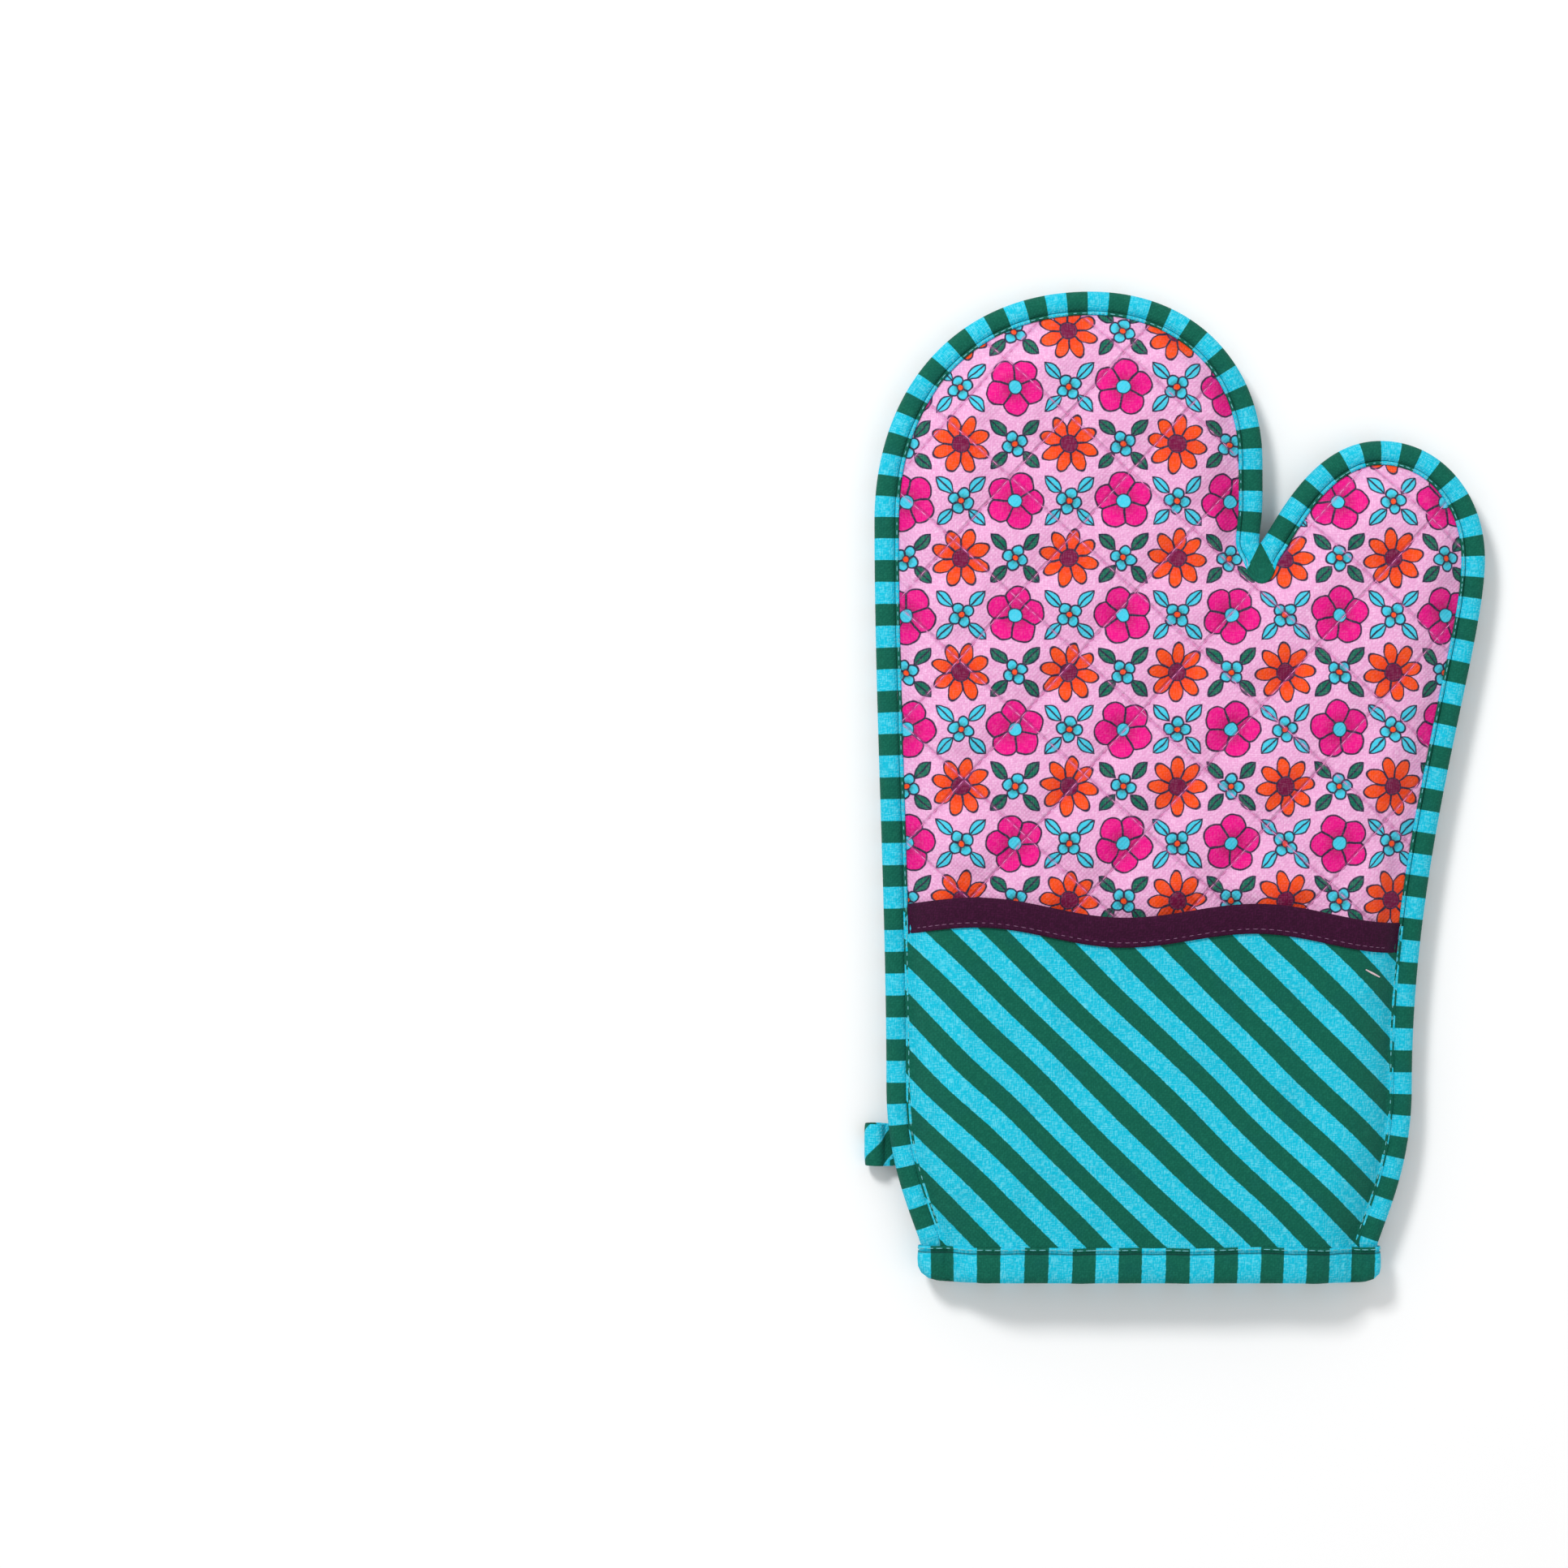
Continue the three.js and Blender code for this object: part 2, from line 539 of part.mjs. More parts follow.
function loopTab() {
  const [left, right] = [loopEdge + TAPE_GAP, loopEdge + LOOP_TAB];
  const [low, high] = [loopPivotZ - LOOP_CLOTH, loopPivotZ + LOOP_CLOTH];
  const corners = [
    [left, low],
    [right, low],
    [right, high],
    [left, high],
  ];
  return slab(corners.map(([x, z]) => new THREE.Vector2(x, z)), loopFrom, loopTo);
}

// ---- Colours ----
const cloth = (colour) => new THREE.MeshStandardMaterial({ color: colour, roughness: 0.9, metalness: 0 });
const PRINT = cloth("#e3a3d3");
const STRIPE = cloth("#0aa6bd");
const PLUM = cloth("#3a0a2c");
const LINING = cloth("#12b4d0");
const FILLING = cloth("#efe9dd");

// ---- Assembly ----
const mitt = new THREE.Group();

function add(name, solid, material, parent = mitt) {
  const mesh = new THREE.Mesh(geometryOf(solid), material);
  mesh.name = name;
  parent.add(mesh);
  return mesh;
}

const PARTS = ["palm", "fingers", "thumb"];
const groups = Object.fromEntries(PARTS.map((part) => [part, new THREE.Group()]));
PARTS.forEach((part) => mitt.add(groups[part]));

for (const [side, s] of [["front", front], ["back", back]]) {
  const between = (a, b) => (side === "front" ? layer(a, b) : layer(b, a));
  const made = [
    ["shell", between(s.shell, s.shellOut), PRINT],
    ["wadding", between(s.wadding, s.waddingOut), FILLING],
    ["lining", between(s.lining, s.liningOut), LINING],
  ];
  for (const [what, solid, material] of made) {
    const pieces = parted(solid);
    PARTS.forEach((part) => add(`${side}_${what}_${part}`, pieces[part], material, groups[part]));
  }
}

const tape = parted(edgeTape());
add("edge_tape_fingers", tape.fingers, STRIPE, groups.fingers);
add("edge_tape_thumb", tape.thumb, STRIPE, groups.thumb);
const acrossPalm = tape.palm.decompose().sort((a, b) => a.boundingBox().min[0] - b.boundingBox().min[0]);
const tapePlaces = ["left", "crotch", "right"];
tapePlaces.forEach((place, i) => add(`edge_tape_${place}`, acrossPalm[i], STRIPE, groups.palm));

add("mouth_tape", mouthTape(), STRIPE, groups.palm);
add("pocket_panel", pocketPanel(), STRIPE);
add("pocket_tape", pocketTape(), PLUM);
add("hanging_loop", hangingLoop(), STRIPE);
add("loop_tab", loopTab(), STRIPE, groups.palm);

// The origin is on the table, under the middle of the whole mitt.
const bounds = new THREE.Box3().setFromObject(mitt);
const middle = bounds.getCenter(new THREE.Vector3());
mitt.position.set(-middle.x, -middle.y, -bounds.min.z);

export default mitt;
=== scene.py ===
"""A quilted oven mitt lying on a pale floor, seen from straight above.

The walls are padded cloth quilted in diamonds, bound with striped tape round the hand and at the mouth.
A striped pocket with a plum edge covers the cuff, and a short striped loop hangs from the left side.
Lengths are in millimetres inside the classes and become metres where a mesh is made.
"""

from __future__ import annotations

import json
import logging
import math
from dataclasses import dataclass, field
from enum import Enum
from typing import Any, Sequence

import bmesh
import bpy
import numpy as np
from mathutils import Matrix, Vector, noise
from mathutils.bvhtree import BVHTree

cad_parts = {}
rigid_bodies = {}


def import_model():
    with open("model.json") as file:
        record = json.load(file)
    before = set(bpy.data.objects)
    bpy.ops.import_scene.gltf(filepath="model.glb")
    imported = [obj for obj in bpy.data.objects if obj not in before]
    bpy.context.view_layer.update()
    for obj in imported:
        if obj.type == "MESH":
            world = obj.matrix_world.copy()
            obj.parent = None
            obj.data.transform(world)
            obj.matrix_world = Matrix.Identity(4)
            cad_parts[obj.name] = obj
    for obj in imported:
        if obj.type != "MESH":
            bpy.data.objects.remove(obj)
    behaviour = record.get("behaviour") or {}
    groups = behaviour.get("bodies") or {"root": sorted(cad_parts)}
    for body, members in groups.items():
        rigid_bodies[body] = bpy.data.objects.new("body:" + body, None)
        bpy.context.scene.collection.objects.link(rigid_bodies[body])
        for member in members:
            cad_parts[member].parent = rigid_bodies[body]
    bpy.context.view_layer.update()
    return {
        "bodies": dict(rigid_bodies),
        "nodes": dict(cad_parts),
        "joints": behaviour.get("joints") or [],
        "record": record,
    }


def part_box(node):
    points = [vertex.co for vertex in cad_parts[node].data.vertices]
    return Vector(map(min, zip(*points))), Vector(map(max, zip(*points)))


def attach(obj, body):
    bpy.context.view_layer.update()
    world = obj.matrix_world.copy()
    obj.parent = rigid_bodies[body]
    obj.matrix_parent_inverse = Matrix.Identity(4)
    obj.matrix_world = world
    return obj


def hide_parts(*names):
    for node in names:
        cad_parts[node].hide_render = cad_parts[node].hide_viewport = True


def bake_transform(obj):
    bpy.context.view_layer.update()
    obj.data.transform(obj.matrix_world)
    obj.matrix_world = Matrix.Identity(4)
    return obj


log = logging.getLogger("oven_mitt")

MM = 0.001
Array = np.ndarray
Stitch = tuple[Array, Array, Array]

QUILT_GAP = 20.0
QUILT_ORIGIN = (5.4, 85.7)
QUILT_TURN = 0.045


class Wall(Enum):
    """The two walls of the mitt, with the sign of their outward direction."""

    FRONT = 1
    BACK = -1


class Part(Enum):
    """What a piece belongs to: the hand with its fingers, or the thumb."""

    HAND = "hand"
    THUMB = "thumb"


# ---------------------------------------------------------------------------
# Measures
# ---------------------------------------------------------------------------


def bezier(points: Sequence[Sequence[float]], steps: int) -> Array:
    """Points on a cubic curve.

    Args:
        points: The four control points.
        steps: How many steps the curve is divided into.

    Returns:
        steps + 1 points as rows.
    """
    t = np.linspace(0, 1, steps + 1)[:, None]
    a, b, c, d = (np.asarray(p, float) for p in points)
    return (1 - t) ** 3 * a + 3 * (1 - t) ** 2 * t * b + 3 * (1 - t) * t**2 * c + t**3 * d


def run_length(points: Array) -> Array:
    """The distance of each point from the first, along the line through them."""
    return np.concatenate([[0], np.cumsum(np.linalg.norm(np.diff(points, axis=0), axis=1))])


def smooth(value: Array, low: float, high: float) -> Array:
    """A smooth rise from 0 at low to 1 at high."""
    t = np.clip((np.asarray(value, float) - low) / (high - low), 0, 1)
    return t * t * (3 - 2 * t)


@dataclass
class CuttingLine:
    """The line along which both walls were cut, from the mouth's left corner round to its right corner."""

    palm_length: float = 244.0
    finger_length: float = 86.0
    thumb_length: float = 36.0
    finger_width: float = 130.0
    thumb_reach: float = 76.0
    wrist_width: float = 176.0
    wrist_height: float = 64.0
    mouth_width: float = 153.0
    mouth_band: float = 11.0
    finger_overhang: float = 4.0
    crotch_opening: float = 9.0
    crotch_inset: float = 1.5
    turned_back: float = 1.5
    crotch_curve: int = 7
    finger_side: tuple[float, float] = (0.115, 0.993)
    thumb_side: tuple[float, float] = (0.516, 0.856)
    thumb_fold: tuple[float, float] = (66.5, -59.0)
    step: float = 1.0
    points: Array = field(init=False)
    inward: Array = field(init=False)
    along: Array = field(init=False)
    crotch_index: int = field(init=False)
    shift: Array = field(init=False)

    def __post_init__(self) -> None:
        """Places the line in the row frame, which the CAD's own boxes give."""
        low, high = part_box("mouth_tape")[0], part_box("edge_tape_thumb")[1]
        left = -self.wrist_width / 2 - self.finger_overhang
        crotch_x = left + self.finger_width - self.crotch_inset
        self.shift = np.array([crotch_x + self.thumb_reach - high[0] / MM, -self.turned_back - low[1] / MM])
        parts = []
        for number, curve in enumerate(self._curves()):
            length = np.linalg.norm(np.diff(bezier(curve, 12), axis=0), axis=1).sum()
            fewest = 20 if number == self.crotch_curve else 4
            steps = max(int(length / self.step), fewest)
            parts.append(bezier(curve, steps)[1 if number else 0 :])
        before = sum(len(p) for p in parts[: self.crotch_curve])
        self.crotch_index = before + len(parts[self.crotch_curve]) // 2
        self.points = np.vstack(parts) - self.shift
        run = np.gradient(self.points, axis=0)
        run /= np.linalg.norm(run, axis=1)[:, None]
        self.inward = np.column_stack([run[:, 1], -run[:, 0]])
        self.along = run_length(self.points)

    def _curves(self) -> list[list[Sequence[float]]]:
        """The line's thirteen curves, counted from the middle of the mouth."""
        half, wrist = self.mouth_width / 2, self.wrist_width / 2
        left = -wrist - self.finger_overhang
        right = left + self.finger_width
        crotch = np.array([right - self.crotch_inset, self.palm_length])
        out = crotch[0] + self.thumb_reach
        top, thumb_top = self.palm_length + self.finger_length, self.palm_length + self.thumb_length
        bulge = np.array([left, self.palm_length + 0.105 * self.finger_length])
        tip = np.array([left + 0.556 * self.finger_width, top])
        shoulder = np.array([right, self.palm_length + 0.337 * self.finger_length])
        finger_side, thumb_side = np.array(self.finger_side), np.array(self.thumb_side)
        opening = self.crotch_opening
        finger_foot, thumb_foot = crotch + finger_side * opening, crotch + thumb_side * opening
        thumb_tip = np.array([crotch[0] + 0.54 * self.thumb_reach, thumb_top])
        thumb_bulge = np.array([out, self.palm_length - 0.1 * self.thumb_length])
        band, swell, height = self.mouth_band, 0.6 * self.wrist_height, self.wrist_height
        rise = (bulge[1] - height) / 3
        return [
            [(-half, 0), (-half, band / 3), (-half, 2 * band / 3), (-half, band)],
            [(-half, band), (-half - 4, band + 12), (-wrist, swell), (-wrist, height)],
            [(-wrist, height), (-wrist, height + rise), (left, bulge[1] - rise), bulge],
            [bulge, (left, bulge[1] + 0.58 * (top - bulge[1])), (tip[0] - 0.62 * (tip[0] - left), top), tip],
            [
                tip,
                (tip[0] + 0.62 * (right - tip[0]), top),
                (right, shoulder[1] + 0.56 * (top - shoulder[1])),
                shoulder,
            ],
            [shoulder, (right, shoulder[1] - 8), crotch + finger_side * (opening + 6), finger_foot],
            [finger_foot - finger_side * back for back in (0.0, 1.5, 3.0, 4.5)],
            [
                finger_foot - finger_side * 4.5,
                crotch + finger_side * 0.5,
                crotch + thumb_side * 0.5,
                thumb_foot,
            ],
            [
                thumb_foot,
                crotch + thumb_side * (opening + 14),
                (thumb_tip[0] - 0.44 * (thumb_tip[0] - crotch[0]), thumb_top),
                thumb_tip,
            ],
            [
                thumb_tip,
                (thumb_tip[0] + 0.57 * (out - thumb_tip[0]), thumb_top),
                (out, thumb_bulge[1] + 0.56 * (thumb_top - thumb_bulge[1])),
                thumb_bulge,
            ],
            [
                thumb_bulge,
                (out, thumb_bulge[1] - 30),
                (wrist, height + 0.45 * (thumb_bulge[1] - height)),
                (wrist, height),
            ],
            [(wrist, height), (wrist, swell), (half + 4, band + 12), (half, band)],
            [(half, band), (half, 2 * band / 3), (half, band / 3), (half, 0)],
        ]

    def at(self, x: float, y: float) -> Array:
        """A place counted from the middle of the mouth, in the row frame."""
        return np.array([x, y]) - self.shift

    @property
    def crotch(self) -> Array:
        """The corner from which both fold lines start."""
        both = np.array(self.finger_side) + np.array(self.thumb_side)
        between = both / np.linalg.norm(both)
        left = -self.wrist_width / 2 - self.finger_overhang
        place = self.at(left + self.finger_width - self.crotch_inset, self.palm_length)
        return place + between * 0.36 * self.crotch_opening

    @property
    def thumb_away(self) -> Array:
        """The direction across the thumb's fold line, towards its tip."""
        fold = np.array(self.thumb_fold) / math.hypot(*self.thumb_fold)
        return np.array([-fold[1], fold[0]])

    def depth(self, places: Array) -> Array:
        """How far inside the line each place is; negative outside.

        Args:
            places: Rows of x and y.

        Returns:
            One distance a place.
        """
        a, b = self.points[:-1], self.points[1:]
        run = b - a
        best = np.full(len(places), np.inf)
        for start in range(0, len(places), 2000):
            p = places[start : start + 2000]
            offset = p[:, None] - a[None]
            share = np.clip((offset * run).sum(2) / (run * run).sum(1), 0, 1)
            gap = np.linalg.norm(offset - share[..., None] * run, axis=2)
            best[start : start + 2000] = gap.min(1)
        return np.where(self.inside(places), best, -best)

    def inside(self, places: Array) -> Array:
        """Whether each place is inside the line, closed across the mouth."""
        result = np.zeros(len(places), bool)
        x, y = places[:, 0], places[:, 1]
        ring = np.vstack([self.points, self.points[:1]])
        for (x0, y0), (x1, y1) in zip(ring[:-1], ring[1:]):
            if y0 == y1:
                continue
            crosses = (y0 > y) != (y1 > y)
            result ^= crosses & (x < (x1 - x0) * (y - y0) / (y1 - y0) + x0)
        return result

    def side_x(self, y: Array, side: int, depth: float) -> Array:
        """Where the line inset by a depth is along the cuff, at heights y, on the left (-1) or right (1)."""
        line = self.points + self.inward * depth
        same_side = np.sign(self.points[:, 0] + self.shift[0]) == side
        chosen = line[same_side & (line[:, 1] < self.palm_length - 20 - self.shift[1])]
        chosen = chosen[np.argsort(chosen[:, 1])]
        return np.interp(y, chosen[:, 1], chosen[:, 0])

    def on_thumb(self, places: Array) -> Array:
        """How far past the thumb's fold line each place is; negative on the palm and the fingers."""
        past = (places - self.crotch) @ self.thumb_away
        rise = places[:, 1] - self.crotch[1]
        finger = (rise > 0) & (places[:, 0] < self.crotch[0] + 0.32 * rise)
        return np.where(finger, -1.0, past)


@dataclass(frozen=True)
class Section:
    """Heights of the layers over the table, as the CAD has them."""

    seam_plane: float = 9.0
    sewn_band: float = 8.7
    dome_run: float = 18.5
    gap: float = 0.2
    shell: float = 0.6
    lining: float = 0.5
    sewn_wadding: float = 0.7
    wadding: float = 4.2
    front_rise: float = 6.6
    back_sag: float = 3.2
    mouth_press: float = 1.6
    mouth_run: float = 30.0

    def dome(self, depth: Array) -> Array:
        """The share of its full height that a wall has, at a depth inside the cutting line."""
        t = np.clip((depth - self.sewn_band) / self.dome_run, 0, 1)
        return 1 - (1 - t) ** 2.2

    def travel(self, wall: Wall) -> float:
        """How far a wall's lining stands off the seam plane in the middle."""
        return self.front_rise if wall is Wall.FRONT else self.back_sag

    def hollow(self, wall: Wall, depth: Array) -> Array:
        """The height of the lining's inner face."""
        return self.seam_plane + wall.value * (self.gap / 2 + self.travel(wall) * self.dome(depth))

    def backing(self, wall: Wall, depth: Array) -> Array:
        """The height of the wadding's inner face."""
        return self.hollow(wall, depth) + wall.value * (self.lining + self.gap)

    def cover(self, wall: Wall, depth: Array, above_mouth: Array) -> Array:
        """The height of the outer cloth.

        Args:
            wall: Which wall.
            depth: Distances inside the cutting line.
            above_mouth: Heights along the cuff, counted from the mouth.

        Returns:
            One height a place.
        """
        dome = self.dome(depth)
        press = self.mouth_press * (1 - smooth(above_mouth, 11, 11 + self.mouth_run))
        loft = self.sewn_wadding + (self.wadding - self.sewn_wadding) * dome - press * dome
        return self.backing(wall, depth) + wall.value * (loft + self.gap + self.shell)


# ---------------------------------------------------------------------------
# Mesh work
# ---------------------------------------------------------------------------


def select_nothing() -> None:
    """Deselects everything."""
    bpy.ops.object.select_all(action="DESELECT")


def select_only(piece: bpy.types.Object) -> None:
    """Makes a piece the only selected one, and the active one."""
    select_nothing()
    piece.select_set(True)
    bpy.context.view_layer.objects.active = piece


def mesh_piece(
    name: str, points: Array, faces: Sequence[Sequence[int]], uv: Array | None = None
) -> bpy.types.Object:
    """A new mesh object at the origin.

    Args:
        name: The piece's name.
        points: Rows of x, y and z in millimetres.
        faces: Indices of each face.
        uv: Rows of u and v for each corner in turn, in metres.

    Returns:
        The object.
    """
    mesh = bpy.data.meshes.new(name)
    places = [tuple(p) for p in np.asarray(points) * MM]
    mesh.from_pydata(places, [], [tuple(int(k) for k in f) for f in faces])
    if uv is not None:
        layer = mesh.uv_layers.new(name="run")
        layer.data.foreach_set("uv", np.asarray(uv, np.float32).ravel())
    mesh.update()
    piece = bpy.data.objects.new(name, mesh)
    bpy.context.collection.objects.link(piece)
    return piece


def coordinates(piece: bpy.types.Object) -> Array:
    """A piece's points in millimetres."""
    flat = np.empty(len(piece.data.vertices) * 3)
    piece.data.vertices.foreach_get("co", flat)
    return flat.reshape(-1, 3) / MM


def move_points(piece: bpy.types.Object, points: Array) -> None:
    """Sets a piece's points from millimetres."""
    piece.data.vertices.foreach_set("co", (points * MM).ravel())
    piece.data.update()


def apply_modifier(piece: bpy.types.Object, kind: str, **settings: Any) -> None:
    """Adds a modifier with its settings and applies it."""
    select_only(piece)
    modifier = piece.modifiers.new(kind.lower(), kind)
    for key, value in settings.items():
        setattr(modifier, key, value)
    bpy.ops.object.modifier_apply(modifier=modifier.name)


def trim(sheet: bpy.types.Object, keep: Array) -> None:
    """Deletes the points that aren't kept."""
    work = bmesh.new()
    work.from_mesh(sheet.data)
    work.verts.ensure_lookup_table()
    bmesh.ops.delete(work, geom=[v for v in work.verts if not keep[v.index]], context="VERTS")
    work.to_mesh(sheet.data)
    work.free()


def face_outwards(piece: bpy.types.Object) -> None:
    """Merges doubles and turns every face outwards."""
    work = bmesh.new()
    work.from_mesh(piece.data)
    bmesh.ops.remove_doubles(work, verts=work.verts, dist=1e-7)
    bmesh.ops.recalc_face_normals(work, faces=work.faces)
    work.to_mesh(piece.data)
    work.free()
    piece.data.update()


def shade_smooth(piece: bpy.types.Object, angle: float = 180) -> None:
    """Smooths a piece's shading, up to an angle in degrees between faces."""
    select_only(piece)
    if angle < 180:
        bpy.ops.object.shade_smooth_by_angle(angle=math.radians(angle))
    else:
        bpy.ops.object.shade_smooth()


def map_from_above(piece: bpy.types.Object) -> None:
    """Gives a piece a map of its own places at rest, so that a print bends with it."""
    mesh = piece.data
    corners = np.empty(len(mesh.loops), dtype=np.int32)
    mesh.loops.foreach_get("vertex_index", corners)
    places = coordinates(piece)[corners, :2] * MM
    while mesh.uv_layers:
        mesh.uv_layers.remove(mesh.uv_layers[0])
    layer = mesh.uv_layers.new(name="run")
    layer.data.foreach_set("uv", places.astype(np.float32).ravel())


def dress(piece: bpy.types.Object, material: bpy.types.Material) -> None:
    """Gives a piece one material."""
    piece.data.materials.clear()
    piece.data.materials.append(material)


def tube_sheet(rows: int, columns: int, closed_rows: bool = False) -> list[tuple[int, int, int, int]]:
    """Faces between rings of points.

    Args:
        rows: The number of rings.
        columns: Points in each ring, which is closed.
        closed_rows: Whether the last ring joins the first.

    Returns:
        Four indices a face.
    """
    faces = []
    for r in range(rows if closed_rows else rows - 1):
        s = (r + 1) % rows
        for c in range(columns):
            d = (c + 1) % columns
            faces.append((r * columns + c, r * columns + d, s * columns + d, s * columns + c))
    return faces


def cloth_tube(name: str, rings: Array, run: Array, around: Array, closing: float) -> bpy.types.Object:
    """A closed tube of cloth, mapped by its distances along and round it.

    Args:
        name: The piece's name.
        rings: Rings of points in millimetres.
        run: Each ring's distance along the cloth.
        around: Each point's distance round its ring.
        closing: The distance at which a ring closes.

    Returns:
        The object.
    """
    count, columns = rings.shape[:2]
    faces = tube_sheet(count, columns)
    faces += [tuple(range(columns)), tuple((count - 1) * columns + k for k in reversed(range(columns)))]
    rounds = [*around, closing]
    uv = []
    for s0, s1 in zip(run, run[1:]):
        for v0, v1 in zip(rounds, rounds[1:]):
            uv += [(s0, v0), (s0, v1), (s1, v1), (s1, v0)]
    uv += [(run[0], v) for v in around] + [(run[-1], v) for v in around[::-1]]
    piece = mesh_piece(name, rings.reshape(-1, 3), faces, np.array(uv) * MM)
    face_outwards(piece)
    return piece


def waver(place: Sequence[float], scale: float, seed: float = 0.0) -> float:
    """Smooth noise from about -1 to 1 at a place, with features of a size in millimetres."""
    return noise.noise(Vector((place[0] / scale + seed, place[1] / scale - seed, seed * 0.37)))


def wavers(points: Array, scale: float, seed: float = 0.0) -> Array:
    """The same noise at many places."""
    return np.array([waver(p, scale, seed) for p in points])


# ---------------------------------------------------------------------------
# Shader building
# ---------------------------------------------------------------------------


def srgb(red: int, green: int, blue: int) -> tuple[float, float, float, float]:
    """A linear colour from screen values of 0 to 255."""
    channels = [v / 255 for v in (red, green, blue)]
    linear = [v / 12.92 if v <= 0.04045 else ((v + 0.055) / 1.055) ** 2.4 for v in channels]
    return (*linear, 1.0)


class Num:
    """A number in a node tree, on which Python's operators add Math nodes."""

    def __init__(self, graph: "Graph", socket: bpy.types.NodeSocket) -> None:
        """Wraps a socket of the graph."""
        self.graph = graph
        self.socket = socket

    def _do(self, operation: str, *others: Any) -> "Num":
        """One Math node."""
        return self.graph.math(operation, self, *others)

    def __add__(self, other: Any) -> "Num":
        """Sum."""
        return self._do("ADD", other)

    def __radd__(self, other: Any) -> "Num":
        """Sum."""
        return self._do("ADD", other)

    def __sub__(self, other: Any) -> "Num":
        """Difference."""
        return self._do("SUBTRACT", other)

    def __rsub__(self, other: Any) -> "Num":
        """Difference, the other way round."""
        return self.graph.math("SUBTRACT", other, self)

    def __mul__(self, other: Any) -> "Num":
        """Product."""
        return self._do("MULTIPLY", other)

    def __rmul__(self, other: Any) -> "Num":
        """Product."""
        return self._do("MULTIPLY", other)

    def __truediv__(self, other: Any) -> "Num":
        """Quotient."""
        return self._do("DIVIDE", other)

    def __pow__(self, other: Any) -> "Num":
        """Power."""
        return self._do("POWER", other)

    def __mod__(self, other: Any) -> "Num":
        """Remainder, never negative."""
        return self._do("FLOORED_MODULO", other)

    def __lt__(self, other: Any) -> "Num":
        """1 where less."""
        return self._do("LESS_THAN", other)

    def __gt__(self, other: Any) -> "Num":
        """1 where greater."""
        return self._do("GREATER_THAN", other)

    def __abs__(self) -> "Num":
        """Size without sign."""
        return self._do("ABSOLUTE")

    def sin(self) -> "Num":
        """Sine."""
        return self._do("SINE")

    def cos(self) -> "Num":
        """Cosine."""
        return self._do("COSINE")

    def sqrt(self) -> "Num":
        """Square root."""
        return self._do("SQRT")

    def least(self, other: Any) -> "Num":
        """The smaller of two."""
        return self._do("MINIMUM", other)

    def most(self, other: Any) -> "Num":
        """The larger of two."""
        return self._do("MAXIMUM", other)

    def clamp(self) -> "Num":
        """Held between 0 and 1."""
        return self.graph.math("ADD", self, 0.0, use_clamp=True)


